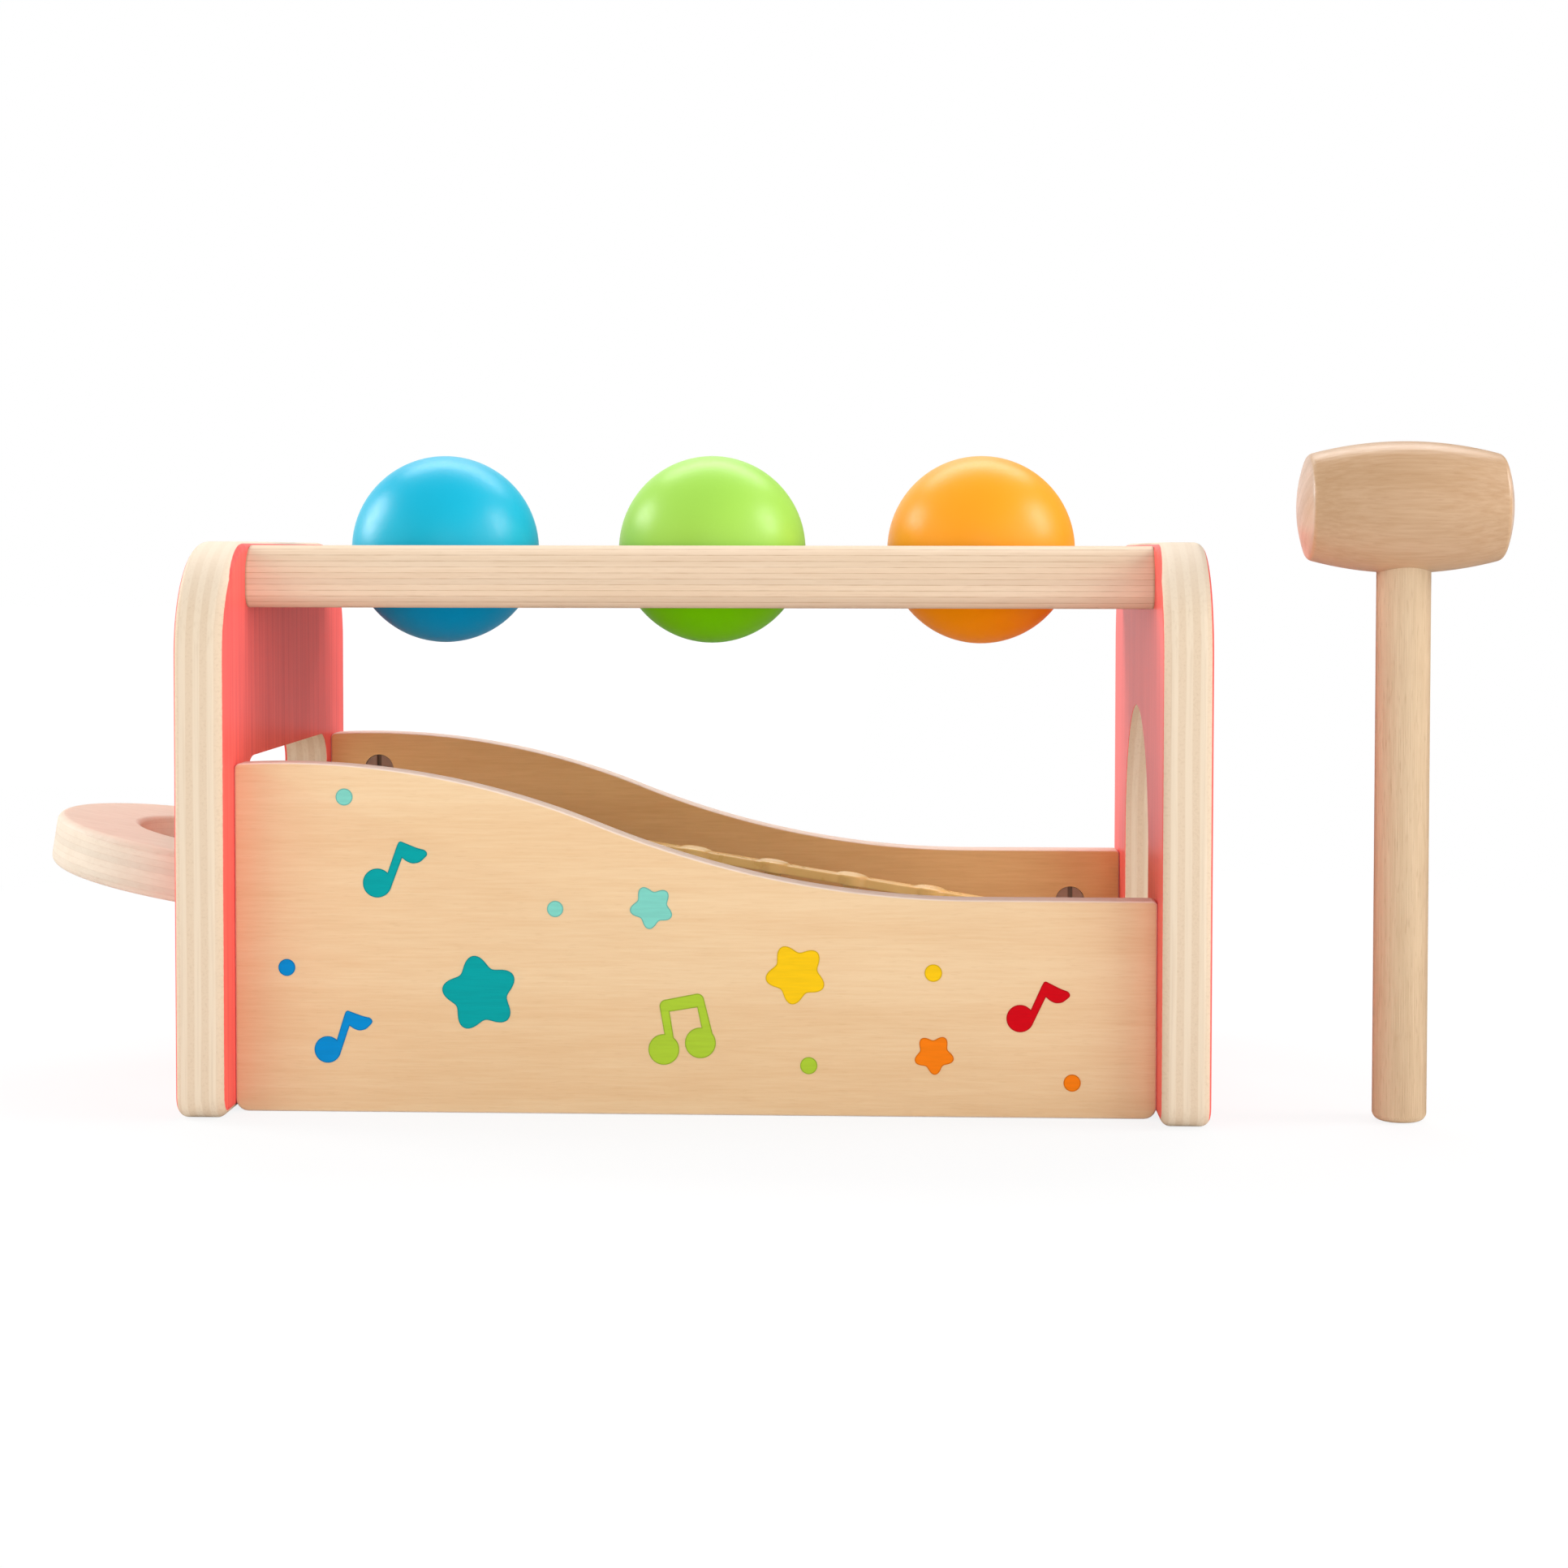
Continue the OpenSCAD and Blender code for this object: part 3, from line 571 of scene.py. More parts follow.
# %% Side panels
CREST_Z, CREST_IN, CREST_R = 84.3 * MM, 11.7 * MM, 203.0 * MM
TROUGH_Z, TROUGH_IN = 52.1 * MM, 42.7 * MM
FOOT_CORNER, TOP_CORNER, SANDED = 3.0 * MM, 1.2 * MM, 0.6 * MM
NUT_R, NUT_HOLE_D, NUT_WALL = 3.9 * MM, 8.1 * MM, 1.2 * MM
SIDES = (("front", -1), ("back", 1))

panel_low, panel_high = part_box("front_panel")
nut_low, nut_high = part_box("side_barrel_nuts")
crest = Vector((panel_low.x + CREST_IN, 0, CREST_Z))
trough = Vector((panel_high.x - TROUGH_IN, 0, TROUGH_Z))
run, drop = trough.x - crest.x, crest.z - trough.z
trough_r = (run ** 2 + drop ** 2) / (2 * drop) - CREST_R
crest_centre = crest - Vector((0, 0, CREST_R))
trough_centre = trough + Vector((0, 0, trough_r))
bend_angle = math.degrees(math.asin(run / (CREST_R + trough_r)))
left_lead = math.degrees(math.asin(CREST_IN / CREST_R))
print("wave: trough radius %.1f mm, bend at %.2f degrees" % (trough_r / MM, bend_angle))


def wave_panel(name, outer_y, inner_y):
    start_z = crest_centre.z + math.sqrt(CREST_R ** 2 - CREST_IN ** 2)
    level = Vector((0, outer_y, 0))
    piece = start_outline(name, (panel_low.x, outer_y, start_z))
    arc_about(crest_centre + level, left_lead + bend_angle, 40)
    arc_about(trough_centre + level, -bend_angle, 40)
    draw_to((panel_high.x, outer_y, TROUGH_Z), (panel_high.x, outer_y, 0),
            (panel_low.x, outer_y, 0))
    fill_outline()
    pick("verts", lambda v: v.co.z < MM)
    bpy.ops.mesh.bevel(offset=FOOT_CORNER, segments=5, affect="VERTICES")
    at_end = lambda v: min(v.co.x - panel_low.x, panel_high.x - v.co.x) < SAME_PLACE
    pick("verts", lambda v: at_end(v) and v.co.z > 2 * FOOT_CORNER)
    bpy.ops.mesh.bevel(offset=TOP_CORNER, segments=4, affect="VERTICES")
    pick_all()
    push(y=inner_y - outer_y)
    outward()
    ease_edges(piece, SANDED)
    return piece


def drill_nut_holes(piece, outer_y, inner_y):
    sign = 1 if inner_y > outer_y else -1
    floor_y = outer_y + sign * NUT_WALL
    nuts = (nut_low.x + NUT_R, nut_high.z - NUT_R), (nut_high.x - NUT_R, nut_low.z + NUT_R)
    for x, z in nuts:
        clear_table()
        depth = abs(inner_y - floor_y) + MM
        place = (x, floor_y + sign * depth / 2, z)
        bpy.ops.mesh.primitive_cylinder_add(vertices=48, radius=NUT_HOLE_D / 2, depth=depth,
                                            location=place, rotation=(math.pi / 2, 0, 0))
        cut_away(piece, name_piece("nut_drill"))


side_boards = {}
for side, sign in SIDES:
    outer, inner = sign * abs(panel_low.y), sign * abs(panel_high.y)
    board = wave_panel(side + "_wave_board", outer, inner)
    drill_nut_holes(board, outer, inner)
    side_boards[side] = (board, outer, inner)
    print(board.name, len(board.data.polygons), "faces")

# %% [markdown]
# ## The side panels' finish
# The face veneer is basswood with its grain along the bench, quiet and warm. The sawn edge is
# paler, with the cross plies faintly visible. The distance from the panel's middle plane tells
# veneer from edge. One recipe serves both panels; the back one is painted browner, a painted shade.

# %% Basswood ply
FACE_VENEER, EDGE_PAIRS = 0.12 * MM, 2.5
EDGE_PALE, EDGE_TAN = (0.88, 0.735, 0.635), (0.82, 0.65, 0.535)
SIDE_TONES_AND_SHADE = {
    "front": (BASSWOOD_PALE, BASSWOOD_DEEP),
    # The back panel's browner tones are a painted shade for the shaded inside of the bench.
    "back": ((0.80, 0.505, 0.225), (0.71, 0.415, 0.17)),
}


def basswood_ply(name, outer_y, inner_y, pale, deep):
    finish, tree, shader = new_finish(name, {"Specular IOR Level": 0.14})
    place = object_place(tree)
    colour, fibres = wood_grain(tree, place, 0, pale, deep, BASSWOOD_FLECK, 90.0, 0.15)
    depth = remap(tree, component(tree, place, "Y"), min(outer_y, inner_y), max(outer_y, inner_y))
    pair = calc(tree, "FRACT", calc(tree, "MULTIPLY", depth, EDGE_PAIRS))
    edge = ramp(tree, pair, [(0.0, EDGE_PALE), (0.44, EDGE_PALE), (0.56, EDGE_TAN),
                             (0.94, EDGE_TAN), (1.0, EDGE_PALE)])
    edge = mix_colours(tree, remap(tree, fibres, 0.55, 0.8, 0.0, 0.35), edge, (*PLY_FLECK, 1.0))
    from_middle = distance(tree, depth, 0.5)
    limit = 0.5 - FACE_VENEER / abs(outer_y - inner_y)
    is_face = remap(tree, from_middle, limit - 0.01, limit + 0.01)
    tint(tree, shader, mix_colours(tree, is_face, edge, colour))
    roughen(tree, shader, fibres, 0.45, 0.6)
    grain_relief(tree, shader, fibres, 0.22)
    return finish


for side, (board, outer, inner) in side_boards.items():
    wood = basswood_ply("basswood_ply_" + side, outer, inner, *SIDE_TONES_AND_SHADE[side])
    hand_over(board, "bench", "side_ply", side + "_panel", finishes=(wood,))

# %% [markdown]
# ## The print's inks
# Small dots, stars and notes are stamped on the front panel. The stamp leaves a clean area of
# colour with a thin darker line round it, so every ink has two finishes: the plain colour and its
# rim. The panel's grain shows through the thin ink as faint streaks.

# %% Inks
INKS = {
    "mint": (0.20, 0.60, 0.51), "teal": (0.0, 0.33, 0.34), "blue": (0.0, 0.24, 0.60),
    "green": (0.38, 0.56, 0.035), "yellow": (0.88, 0.54, 0.006), "red": (0.60, 0.0, 0.006),
    "orange": (0.87, 0.20, 0.004),
}
RIM_SHADE, THIN_SHADE = 0.70, 0.93


def ink_finish(name, colour):
    finish, tree, shader = new_finish(name, {"Specular IOR Level": 0.08})
    place = object_place(tree)
    fibres = noise(tree, place, stretch(0, 120.0, 1500.0), detail=3.0)
    thin = tuple(THIN_SHADE * c for c in colour)
    tint(tree, shader, ramp(tree, fibres, [(0.35, thin), (0.6, colour)]))
    roughen(tree, shader, fibres, 0.4, 0.55)
    grain_relief(tree, shader, fibres, 0.25)
    return finish


inks = {}
for name, colour in INKS.items():
    rim = tuple(RIM_SHADE * c for c in colour)
    inks[name] = (ink_finish("ink_" + name, colour), ink_finish("ink_" + name + "_rim", rim))
print(len(inks), "inks")

# %% [markdown]
# ## The print: dots and stars
# Each figure is a very thin solid on the panel's face: its outline is drawn flat, pushed out by a
# tenth of a millimetre, and an inset makes the rim that takes the darker ink. A star here is soft:
# its reach swells and shrinks five times round, as a cosine does.

# %% Dots and stars
INK_DEPTH, INK_RIM = 0.1 * MM, 0.24 * MM
STAR_SWELL, STAR_POINTS, STAR_STEPS = 0.17, 5, 100
FACE_Y, LEFT_END = panel_low.y, panel_low.x / MM


def stamp(piece, ink):
    """Gives a flat figure its thickness and its darker rim, and sets it on the front panel."""
    in_front = lambda f: f.normal.y < -0.9
    pick_all()
    push(y=-INK_DEPTH)
    outward()
    pick("faces", in_front)
    bpy.ops.mesh.inset(thickness=INK_RIM, use_even_offset=True)
    hand_over(piece, "bench", "side_ply", finishes=inks[ink], smooth=0)
    area = max(filter(in_front, piece.data.polygons), key=lambda f: f.area)
    for face in piece.data.polygons:
        face.material_index = 0 if face.index == area.index else 1


def on_face(x, z):
    """A place on the front panel, in millimetres from its left end and from the floor."""
    return Vector(((LEFT_END + x) * MM, FACE_Y, z * MM))


DOTS = [("mint", 26.67, 76.13, 2.05), ("mint", 77.50, 49.46, 1.95),
        ("blue", 12.61, 34.92, 2.05), ("yellow", 168.08, 34.68, 2.1),
        ("green", 138.38, 12.22, 2.05), ("orange", 201.20, 8.58, 2.05)]
for number, (ink, x, z, radius) in enumerate(DOTS, 1):
    clear_table()
    bpy.ops.mesh.primitive_circle_add(vertices=40, radius=radius * MM, fill_type="NGON",
                                      location=on_face(x, z), rotation=(math.pi / 2, 0, 0))
    dot = name_piece("print_dot_%d" % number)
    bpy.ops.object.mode_set(mode="EDIT")
    stamp(dot, ink)


def direction(degrees):
    return Vector((math.cos(math.radians(degrees)), 0, math.sin(math.radians(degrees))))


def star_reach(reach, turn):
    wave = 1 + STAR_SWELL * math.cos(math.radians(STAR_POINTS * turn))
    return reach * MM * wave / (1 + STAR_SWELL)


STARS = [("mint", 100.71, 50.03, 5.3, 118), ("teal", 59.37, 28.99, 9.2, 101),
         ("yellow", 135.29, 34.20, 7.35, 118), ("orange", 168.29, 15.13, 4.85, 129)]
for number, (ink, x, z, reach, aim) in enumerate(STARS, 1):
    turns = [360 * step / STAR_STEPS for step in range(STAR_STEPS + 1)]
    outline = [on_face(x, z) + star_reach(reach, turn) * direction(aim - turn) for turn in turns]
    star = start_outline("print_star_%d" % number, outline[0])
    draw_to(*outline[1:])
    fill_outline()
    stamp(star, ink)

# %% [markdown]
# ## The print: notes
# A note is drawn with one pen stroke: round its head with a spin, up the stem, along the flag and
# back. The strokes are given in head radii from the head's middle, so that one drawing serves all
# three single notes, each at its own size and lean. The flag's corners are rounded with a vertex
# bevel.

# %% Notes
NOTE_STROKE = [(1.262, 2.62), (1.42, 2.97), (2.67, 2.52), (3.25, 2.40), (3.42, 2.10), (3.155, 1.80),
               (2.864, 1.524), (2.379, 1.427), (1.99, 1.553), (1.65, 1.796)]
STEM_FOOT, STEM_BACK = 47.0, -12.0
FLAG_FROM, FLAG_CORNER = 2.5, 0.16
NOTES = [("teal", 34.63, 55.45, 3.50, 2.0), ("blue", 22.46, 15.15, 3.22, 0.0),
         ("red", 188.79, 23.94, 3.28, 7.0)]


def stroke(start, unit, points):
    return [start + unit * Vector((u, 0, v)) for u, v in points]


for number, (ink, x, z, radius, lean) in enumerate(NOTES, 1):
    centre, size = on_face(x, z), radius * MM
    note = start_outline("print_note_%d" % number, centre + size * direction(STEM_BACK))
    arc_about(centre, 360 - (STEM_FOOT - STEM_BACK), 44)
    draw_to(*stroke(centre, size, NOTE_STROKE))
    fill_outline()
    bpy.ops.transform.rotate(value=-math.radians(lean), orient_axis="Y", center_override=centre)
    pick("verts", lambda v: (v.co - centre).length > FLAG_FROM * size)
    bpy.ops.mesh.bevel(offset=FLAG_CORNER * size, segments=5, affect="VERTICES")
    stamp(note, ink)

# %% [markdown]
# ## The print: a double note
# Two heads share one beam. The stroke goes round the first head, up to the beam and down to the
# second head, round that, and back along the inside of the beam. The beam's two outer corners are
# rounded.

# %% Double note
PAIR_AT, PAIR_R, PAIR_STEP = (103.62, 15.83), 3.7, (8.78, 1.64)
PAIR_STROKE, PAIR_INSIDE = [(-1.26, 11.67), (9.24, 13.77)], [(8.01, 10.2), (1.38, 9.1)]
FIRST_START, FIRST_TURN, SECOND_START, SECOND_TURN = 50, 322, 38, 312
BEAM_FROM, BEAM_CORNER = 11 * MM, 1.5 * MM

centre, size = on_face(*PAIR_AT), PAIR_R * MM
second = stroke(centre, MM, [PAIR_STEP])[0]
double = start_outline("print_double_note", centre + size * direction(FIRST_START))
arc_about(centre, FIRST_TURN, 48)
draw_to(*stroke(centre, MM, PAIR_STROKE), second + size * direction(SECOND_START))
arc_about(second, SECOND_TURN, 48)
draw_to(*stroke(centre, MM, PAIR_INSIDE))
fill_outline()
pick("verts", lambda v: v.co.z > centre.z + BEAM_FROM)
bpy.ops.mesh.bevel(offset=BEAM_CORNER, segments=6, affect="VERTICES")
stamp(double, "green")

# %% [markdown]
# ## The balls
# Each ball is turned from beech and dipped in paint. A fine UV sphere gives a clean outline; at
# its two poles a small inset, pushed in a little, is the mark that the lathe's centres left,
# filled with paint. The poles lie front to back but low, out of sight, as the ball is set in its
# ring. The paint is smooth and half glossy, with the faint orange-peel that dipping leaves. The
# lower half is painted deeper in colour, a painted shade, and it is duller than the upper
# half.

# %% Balls
BALL_PAINTS = {
    "blue": ((0.000, 0.450, 0.660), (0.000, 0.365, 0.720)),
    "green": ((0.360, 0.690, 0.085), (0.190, 0.680, 0.000)),
    "orange": ((0.950, 0.365, 0.010), (1.000, 0.320, 0.000)),
}
SHADE_FROM, SHADE_FULL, SHADE_WAVER = 0.05, 0.55, 2.0 * MM
SHINE_LOW, SHINE_HIGH = 0.06, 0.42
POLE_TILT = math.radians(125)
MARK_SPREAD, MARK_RIM, MARK_DEPTH = math.radians(4.0), 0.25 * MM, 0.18 * MM


def ball_paint(name, upper, lower, centre, radius):
    finish, tree, shader = new_finish(name, {})
    place = object_place(tree)
    cloud = noise(tree, place, (70.0,) * 3)
    waver = remap(tree, cloud, 0.0, 1.0, -SHADE_WAVER, SHADE_WAVER)
    height = calc(tree, "ADD", component(tree, place, "Z"), waver)
    # A painted shade: the lower half gets the deeper, shaded colour, with a wavy edge; it also
    # reflects less.
    lit_share = remap(tree, height, centre.z - SHADE_FULL * radius, centre.z - SHADE_FROM * radius)
    tint(tree, shader, ramp(tree, lit_share, [(0.0, lower), (1.0, upper)]))
    shine = remap(tree, lit_share, 0.0, 1.0, SHINE_LOW, SHINE_HIGH)
    tree.links.new(shine, shader.inputs["Specular IOR Level"])
    peel = noise(tree, place, (900.0,) * 3)
    roughen(tree, shader, peel, 0.35, 0.42)
    grain_relief(tree, shader, peel, 0.12)
    return finish


for colour, paints in BALL_PAINTS.items():
    low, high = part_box(colour + "_ball")
    centre, radius = (low + high) / 2, (high.z - low.z) / 2
    clear_table()
    bpy.ops.mesh.primitive_uv_sphere_add(segments=96, ring_count=64, radius=radius, location=centre,
                                         rotation=(POLE_TILT, 0, 0))
    ball = name_piece(colour + "_turned_ball")
    axis = Vector((0, -math.sin(POLE_TILT), math.cos(POLE_TILT)))
    for pole in (axis, -axis):
        pick("faces", lambda f: (middle(f) - centre).normalized().dot(pole) > math.cos(MARK_SPREAD))
        bpy.ops.mesh.inset(thickness=MARK_RIM)
        bpy.ops.transform.translate(value=-MARK_DEPTH * pole)
    hand_over(ball, colour + "_ball", colour + "_paint", colour + "_ball", smooth=40.0,
              finishes=(ball_paint(colour + "_ball_paint", *paints, centre, radius),))

# %% [markdown]
# ## The xylophone's board
# The board that carries the bars is pale plywood with a round finger loop at its outer end. The
# CAD board already has its loop and eased edges. It lies at a slope, so its pattern is turned by
# that slope before the layers are counted, and the ply lines then follow the board.

# %% Board
SLOPE = math.radians(9.25)
BOARD_UNDER, BOARD_VENEER, BOARD_LINES = 25.305 * MM, 1.6 * MM, 0.22
BOARD_PALE, BOARD_DEEP = (0.745, 0.640, 0.515), (0.705, 0.590, 0.465)
BOARD_FLECK = (0.50, 0.31, 0.20)
board_ply = laminated("pale_board_ply", BOARD_UNDER, BOARD_VENEER, BOARD_PALE, BOARD_DEEP,
                      BOARD_FLECK, BOARD_LINES, turned=(0.0, -SLOPE, 0.0))
dress(board_ply, "xylophone_board")

# %% [markdown]
# ## The bars
# Eight steel bars lie across the board, each a little shorter than the last. One bar is a block
# whose upright corners are rounded first and whose faces are then eased all round, with a hole
# near each end for the strips' pegs. Each is made level at its own length and then turned on to
# the slope, and the turn is applied to the mesh. The metal is brushed along the bar, and a clear
# lacquer dulls it: it is less than fully metallic, so that it stays grey where it has nothing
# bright to mirror.

# %% Bars
BAR_WIDTH, BAR_THICK, BAR_CORNER, BAR_EASE = 17.0 * MM, 2.5 * MM, 2.0 * MM, 0.35 * MM
PEG_HOLE, PEG_Y = 4.4 * MM, 26.0 * MM
METAL_SHADE = 0.86


def brushed_metal(name, colour, grain, roughness, mirror=1.0):
    finish, tree, shader = new_finish(name, {"Metallic": mirror})
    place = object_place(tree)
    brushing = noise(tree, place, stretch(grain, 25.0, 2400.0), detail=3.0)
    smoky = noise(tree, place, (60.0,) * 3)
    dull = tuple(METAL_SHADE * c for c in colour)
    tone = weigh(tree, brushing, 0.5, smoky)
    tint(tree, shader, ramp(tree, tone, [(0.38, dull), (0.6, colour)]))
    roughen(tree, shader, brushing, roughness - 0.06, roughness + 0.08)
    grain_relief(tree, shader, brushing, 0.12, depth=0.1 * MM)
    return finish


def lay_on_slope(piece, place):
    """Turns a piece that was made level on to the slope, and puts the turn into its mesh."""
    piece.rotation_euler = (0, SLOPE, 0)
    piece.location = place
    focus(piece)
    name_piece(piece.name)


bar_metal = brushed_metal("brushed_bar_steel", (0.76, 0.77, 0.79), 1, roughness=0.34, mirror=0.65)
bar_middles = []
for number in range(1, 9):
    low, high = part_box("bar_%d" % number)
    bar_middles.append((low + high) / 2)
    length = high.y - low.y
    clear_table()
    bpy.ops.mesh.primitive_cube_add(size=1.0)
    bpy.context.object.scale = (BAR_WIDTH, length, BAR_THICK)
    bar = name_piece("steel_bar_%d" % number)
    pick("edges", lambda e: abs(e.verts[0].co.z - e.verts[1].co.z) > 0.5 * BAR_THICK)
    bpy.ops.mesh.bevel(offset=BAR_CORNER, segments=6)
    ease_edges(bar, BAR_EASE)
    for y in (-PEG_Y, PEG_Y):
        clear_table()
        bpy.ops.mesh.primitive_cylinder_add(vertices=32, radius=PEG_HOLE / 2, depth=3 * BAR_THICK,
                                            location=(0, y, 0))
        cut_away(bar, name_piece("peg_drill"))
    lay_on_slope(bar, bar_middles[-1])
    hand_over(bar, "xylophone", "bar_metal", "bar_%d" % number, finishes=(bar_metal,))

# %% [markdown]
# ## The moulded strips
# Two cream plastic strips hold the bars down: a slim rib that swells into a low round dome over
# every peg, and stands a little clear of the bars on the pegs' collars. Plain blocks, studs and
# flattened balls are laid out level, joined, and melted into one skin by a voxel remesh; a smooth
# pass then rounds every inner corner, as in a real moulding. The strip is turned on to the slope
# last. The plastic is glossy and a little uneven in colour.

# %% Strips
RIB_WIDTH, RIB_HEIGHT, LOBE_D, DOME_H = 6.0 * MM, 6.2 * MM, 9.0 * MM, 0.9 * MM
RIB_CLEAR, COLLAR_D, DOME_SHARE = 3.8 * MM, 4.4 * MM, 0.97
VOXEL, PLASTIC_SHADE = 0.32 * MM, (0.9, 0.84, 0.74)


def moulded_plastic(name, colour):
    finish, tree, shader = new_finish(name, {"Specular IOR Level": 0.5, "Coat Weight": 0.2,
                                             "Coat Roughness": 0.15})
    place = object_place(tree)
    swirl = noise(tree, place, (90.0,) * 3, detail=3.0)
    deep = tuple(shade * c for shade, c in zip(PLASTIC_SHADE, colour))
    tint(tree, shader, ramp(tree, swirl, [(0.32, deep), (0.66, colour)]))
    roughen(tree, shader, swirl, 0.24, 0.34)
    grain_relief(tree, shader, noise(tree, place, (1300.0,) * 3), 0.05, depth=0.1 * MM)
    return finish


cream = moulded_plastic("cream_moulded_plastic", (0.87, 0.59, 0.215))
first, last = bar_middles[0], bar_middles[-1]
strip_length = (last - first).length
pitch = strip_length / (len(bar_middles) - 1)


def add_lump(kind, place, size):
    clear_table()
    if kind == "block":
        bpy.ops.mesh.primitive_cube_add(size=1.0, location=place)
    elif kind == "stud":
        bpy.ops.mesh.primitive_cylinder_add(vertices=48, radius=0.5, depth=1.0, location=place)
    else:
        bpy.ops.mesh.primitive_uv_sphere_add(segments=48, ring_count=24, radius=0.5, location=place)
    bpy.context.object.scale = size
    return name_piece(kind)


rib_middle, rib_thick = (RIB_HEIGHT + RIB_CLEAR) / 2, RIB_HEIGHT - RIB_CLEAR
rib_size, dome_d = (strip_length, RIB_WIDTH, rib_thick), DOME_SHARE * LOBE_D
on_bars = first + Vector((math.sin(SLOPE), 0, math.cos(SLOPE))) * BAR_THICK / 2
for side, sign in SIDES:
    y = sign * PEG_Y
    lumps = [add_lump("block", (strip_length / 2, y, rib_middle), rib_size)]
    for number in range(len(bar_middles)):
        x = number * pitch
        lumps.append(add_lump("stud", (x, y, rib_middle), (LOBE_D, LOBE_D, rib_thick)))
        lumps.append(add_lump("stud", (x, y, RIB_HEIGHT / 2), (COLLAR_D, COLLAR_D, RIB_HEIGHT)))
        lumps.append(add_lump("ball", (x, y, RIB_HEIGHT), (dome_d, dome_d, 2 * DOME_H)))
    clear_table()
    for lump in lumps:
        lump.select_set(True)
    bpy.context.view_layer.objects.active = lumps[0]
    bpy.ops.object.join()
    strip = name_piece(side + "_moulded_strip")
    use_modifier(strip, "REMESH", mode="VOXEL", voxel_size=VOXEL)
    use_modifier(strip, "SMOOTH", factor=0.5, iterations=5)
    lay_on_slope(strip, on_bars)
    hand_over(strip, "xylophone", "cream_plastic", side + "_strip", finishes=(cream,), smooth=60.0)

# %% [markdown]
# ## The felts
# A felt strip under each row of pegs lets the bars ring. Felt is soft: its edges are round, and it
# rises a little between the bars that press on it. A block is cut into many slices, the slices
# between the bars are lifted, and a bevel rounds all its edges.

# %% Felts
FELT_THICK, FELT_RISE, FELT_CUTS, FELT_EASE = 4.5 * MM, 0.5 * MM, 127, 0.7 * MM
RISE_SHARE = 0.09


def wool_felt(name):
    finish, tree, shader = new_finish(name, {"Roughness": 0.95, "Specular IOR Level": 0.1,
                                             "Sheen Weight": 0.4})
    place = object_place(tree)
    fuzz = noise(tree, place, (1100.0,) * 3, detail=4.0, roughness=0.7)
    clumps = noise(tree, place, (160.0,) * 3, detail=3.0)
    tone = weigh(tree, fuzz, 0.6, clumps)
    colour = ramp(tree, tone, [(0.35, (0.34, 0.31, 0.27)), (0.65, (0.60, 0.56, 0.50))])
    tint(tree, shader, colour)
    grain_relief(tree, shader, fuzz, 0.6, depth=0.6 * MM)
    return finish


felt_wool = wool_felt("wool_felt")
half_row = (len(bar_middles) - 1) / 2 * pitch
for side in ("front", "back"):
    low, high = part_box(side + "_felt")
    length = (high.x - low.x) / math.cos(SLOPE) - FELT_THICK * math.tan(SLOPE)
    clear_table()
    bpy.ops.mesh.primitive_cube_add(size=1.0)
    bpy.context.object.scale = (length, high.y - low.y, FELT_THICK)
    felt = name_piece(side + "_felt_pad")
    pick("edges", lambda e: abs(e.verts[0].co.x - e.verts[1].co.x) > 0.5 * length)
    bpy.ops.mesh.subdivide(number_cuts=FELT_CUTS)
    from_gap = lambda x: abs(((x + half_row) / pitch) % 1.0 - 0.5)
    between = lambda v: v.co.z > 0 and from_gap(v.co.x) < RISE_SHARE and abs(v.co.x) < half_row
    pick("verts", between)
    bpy.ops.transform.translate(value=(0, 0, FELT_RISE))
    ease_edges(felt, FELT_EASE, sharper_than=50.0)
    lay_on_slope(felt, (low + high) / 2)
    hand_over(felt, "xylophone", "felt", side + "_felt", finishes=(felt_wool,))

# %% [markdown]
# ## Rails, dowels, rings and steel
# What holds the bench together is mostly hidden, and the CAD shapes are right as they are: plain
# beech rails under the board, beech dowels, rubber rings in the top board's grooves, and
# zinc-plated bolts and barrel nuts. Each gets a finish that stands a close look from behind or
# below.

# %% Hidden pieces
RAIL_PALE, RAIL_DEEP = (0.72, 0.48, 0.29), (0.62, 0.38, 0.21)
HIDDEN_BEECH = {
    "beech_rail": ("front_rail", "back_rail"),
    "beech_dowel": ("side_dowels", "top_dowels"),
}
for name, nodes in HIDDEN_BEECH.items():
    dress(plain_wood(name, 0, RAIL_PALE, RAIL_DEEP, BASSWOOD_FLECK), *nodes)


def ring_rubber(name):
    finish, tree, shader = new_finish(name, {"Specular IOR Level": 0.4})
    bloom = noise(tree, object_place(tree), (400.0,) * 3, detail=3.0)
    colour = ramp(tree, bloom, [(0.35, (0.035, 0.033, 0.032)), (0.7, (0.075, 0.07, 0.066))])
    tint(tree, shader, colour)
    roughen(tree, shader, bloom, 0.5, 0.7)
    return finish


dress(ring_rubber("ring_rubber"), "ring_left", "ring_middle", "ring_right")
zinc = brushed_metal("zinc_plate", (0.50, 0.47, 0.45), 0, roughness=0.42, mirror=0.8)
dress(zinc, "side_bolts", "top_bolts", "top_barrel_nuts")

# %% [markdown]
# ## The slotted nuts
# The nuts in the side panels show their slotted ends.
# A nut lies along Y, so a point deeper than its end face is in the slot: there the metal is
# painted darker, a painted shade in the recess.

# %% Slotted nuts
SLOT_SHADE, SLOT_FROM, SLOT_FULL = 0.55, 0.1 * MM, 0.6 * MM
slot_start = min(abs(v.co.y) for v in NODES["side_barrel_nuts"].data.vertices)
nut_metal = brushed_metal("slotted_nut_zinc", (0.62, 0.52, 0.46), 0, roughness=0.5)
tree, skin, metal = opened(nut_metal)
sunk = calc(tree, "ABSOLUTE", component(tree, object_place(tree), "Y"))
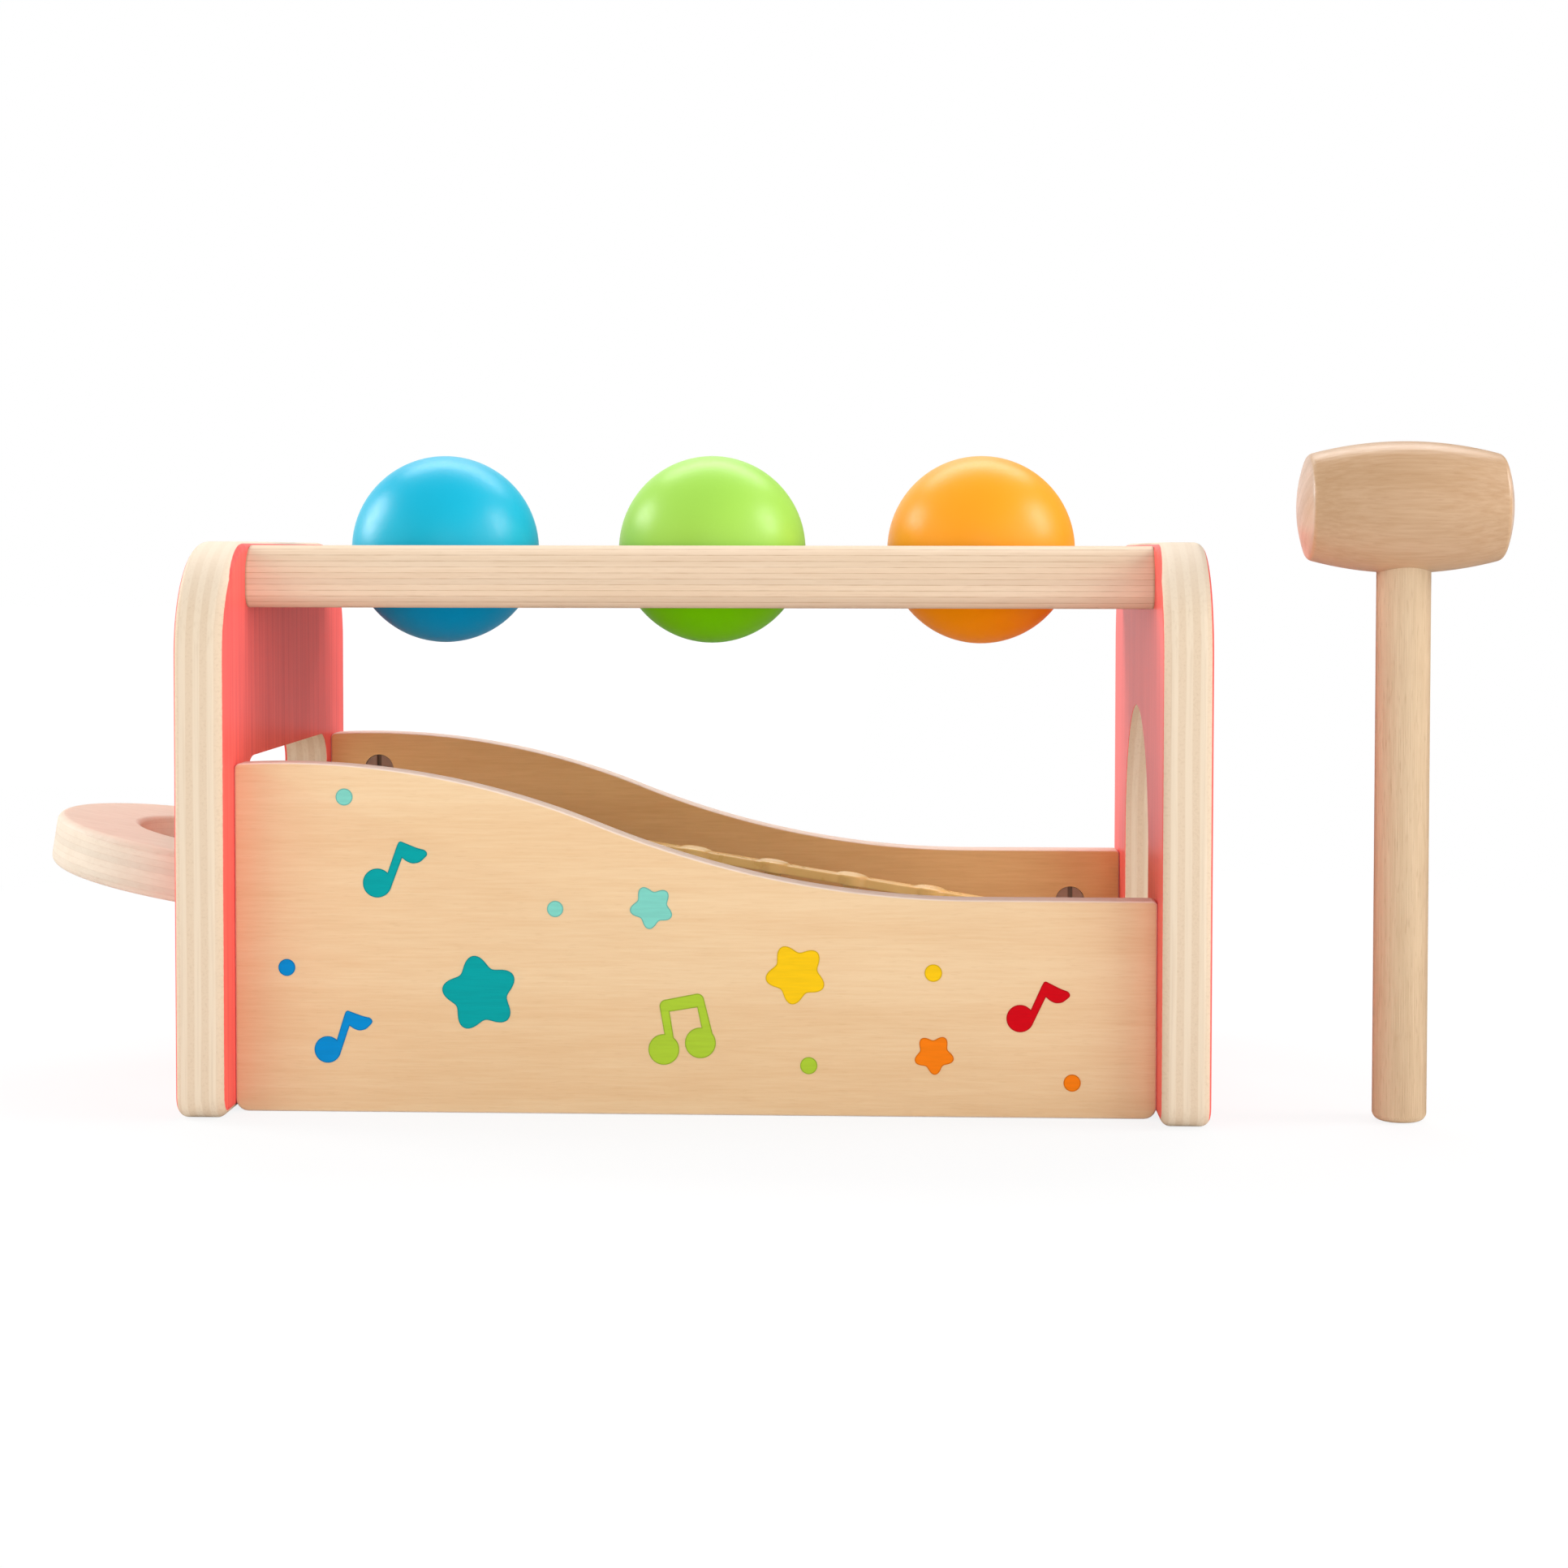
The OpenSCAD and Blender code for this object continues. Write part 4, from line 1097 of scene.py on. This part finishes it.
# A painted shade: metal deeper than the nut's end face is darkened, as shade falls in the slot.
shade = remap(tree, sunk, slot_start + SLOT_FROM, slot_start + SLOT_FULL, 1.0, SLOT_SHADE)
tree.links.new(shade_by(tree, metal, shade), skin)
dress(nut_metal, "side_barrel_nuts")
print("nut faces %.1f mm from the middle" % (slot_start / MM))

# %% [markdown]
# ## The mallet's head
# The head is turned: half a barrel outline, spun once round its axis. Its ends are shallow domes,
# and the rim between dome and barrel is eased with a bevel after the spin.

# %% Mallet head
HEAD_LENGTH, HEAD_MID_D, HEAD_END_D = 50.2 * MM, 31.2 * MM, 25.0 * MM
HEAD_DOME_R, HEAD_RIM, RIM_NEAR = 34.0 * MM, 0.9 * MM, 0.01 * MM
head_low, head_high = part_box("mallet_head")
axis_point = (head_low + head_high) / 2
axis_point.z = head_high.z - HEAD_MID_D / 2
dome_sag = HEAD_DOME_R - math.sqrt(HEAD_DOME_R ** 2 - (HEAD_END_D / 2) ** 2)
half_barrel = HEAD_LENGTH / 2 - dome_sag
swell = (HEAD_MID_D - HEAD_END_D) / 2
barrel_r = (half_barrel ** 2 + swell ** 2) / (2 * swell)
dome_turn = math.degrees(math.asin(HEAD_END_D / 2 / HEAD_DOME_R))
barrel_turn = 2 * math.degrees(math.asin(half_barrel / barrel_r))

left_tip = axis_point - Vector((HEAD_LENGTH / 2, 0, 0))
mallet_head = start_outline("turned_mallet_head", left_tip)
arc_about(left_tip + Vector((HEAD_DOME_R, 0, 0)), dome_turn, 10)
arc_about(axis_point + Vector((0, 0, HEAD_MID_D / 2 - barrel_r)), barrel_turn, 48)
arc_about(left_tip + Vector((HEAD_LENGTH - HEAD_DOME_R, 0, 0)), dome_turn, 10)
pick_all()
bpy.ops.mesh.spin(steps=96, angle=2 * math.pi, center=axis_point, axis=(1, 0, 0))
pick_all()
bpy.ops.mesh.remove_doubles(threshold=SAME_PLACE)
outward()
at_rim = lambda v: abs(abs(v.co.x - axis_point.x) - half_barrel) < RIM_NEAR
pick("edges", lambda e: all(at_rim(v) for v in e.verts))
bpy.ops.mesh.bevel(offset=HEAD_RIM, segments=6)
print("barrel radius %.1f mm" % (barrel_r / MM))

# %% [markdown]
# ## The mallet's wood
# The head's grain runs along it and shines a little with wear. Where the head ends in its two
# domes the pinker end grain is laid over the finish, with rays instead of fibres.

# %% Mallet wood
HEAD_PALE, HEAD_DEEP, HEAD_FLECK = (0.575, 0.375, 0.225), (0.475, 0.285, 0.150), (0.34, 0.165, 0.07)
END_PALE, END_DEEP, END_SOFT = (0.60, 0.435, 0.33), (0.50, 0.345, 0.245), 0.2 * MM
RAY_TURN = math.radians(40)
head_wood = plain_wood("turned_beech", 0, HEAD_PALE, HEAD_DEEP, HEAD_FLECK, band_width=60.0,
                       fleck_share=0.2, shine=0.5, dull=0.36)
tree, skin, wood = opened(head_wood)
along = distance(tree, component(tree, object_place(tree), "X"), axis_point.x)
on_end = remap(tree, along, half_barrel - END_SOFT, half_barrel + END_SOFT)
rays = noise(tree, object_place(tree, (RAY_TURN, 0, 0)), (300.0, 60.0, 500.0), detail=3.0)
end_grain = ramp(tree, rays, [(0.35, END_DEEP), (0.65, END_PALE)])
tree.links.new(mix_colours(tree, on_end, wood, end_grain), skin)
hand_over(mallet_head, "mallet", "mallet_wood", "mallet_head", finishes=(head_wood,), smooth=40.0)

# %% [markdown]
# ## The mallet's handle
# The handle is a plain birch dowel with rounded ends, pressed up into the head. Its grain is
# upright.

# %% Mallet handle
HANDLE_EASE = 1.8 * MM
HANDLE_PALE, HANDLE_DEEP = (0.73, 0.55, 0.365), (0.62, 0.445, 0.275)
handle_wood = plain_wood("handle_birch", 2, HANDLE_PALE, HANDLE_DEEP, HEAD_FLECK, band_width=150.0)
low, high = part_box("mallet_handle")
clear_table()
bpy.ops.mesh.primitive_cylinder_add(vertices=72, radius=(high.x - low.x) / 2, depth=high.z - low.z,
                                    location=(low + high) / 2)
handle = name_piece("mallet_dowel_handle")
at_end = lambda v: min(v.co.z - low.z, high.z - v.co.z) < SAME_PLACE
pick("edges", lambda e: all(at_end(v) for v in e.verts))
bpy.ops.mesh.bevel(offset=HANDLE_EASE, segments=6)
hand_over(handle, "mallet", "mallet_wood", "mallet_handle", finishes=(handle_wood,), smooth=40.0)
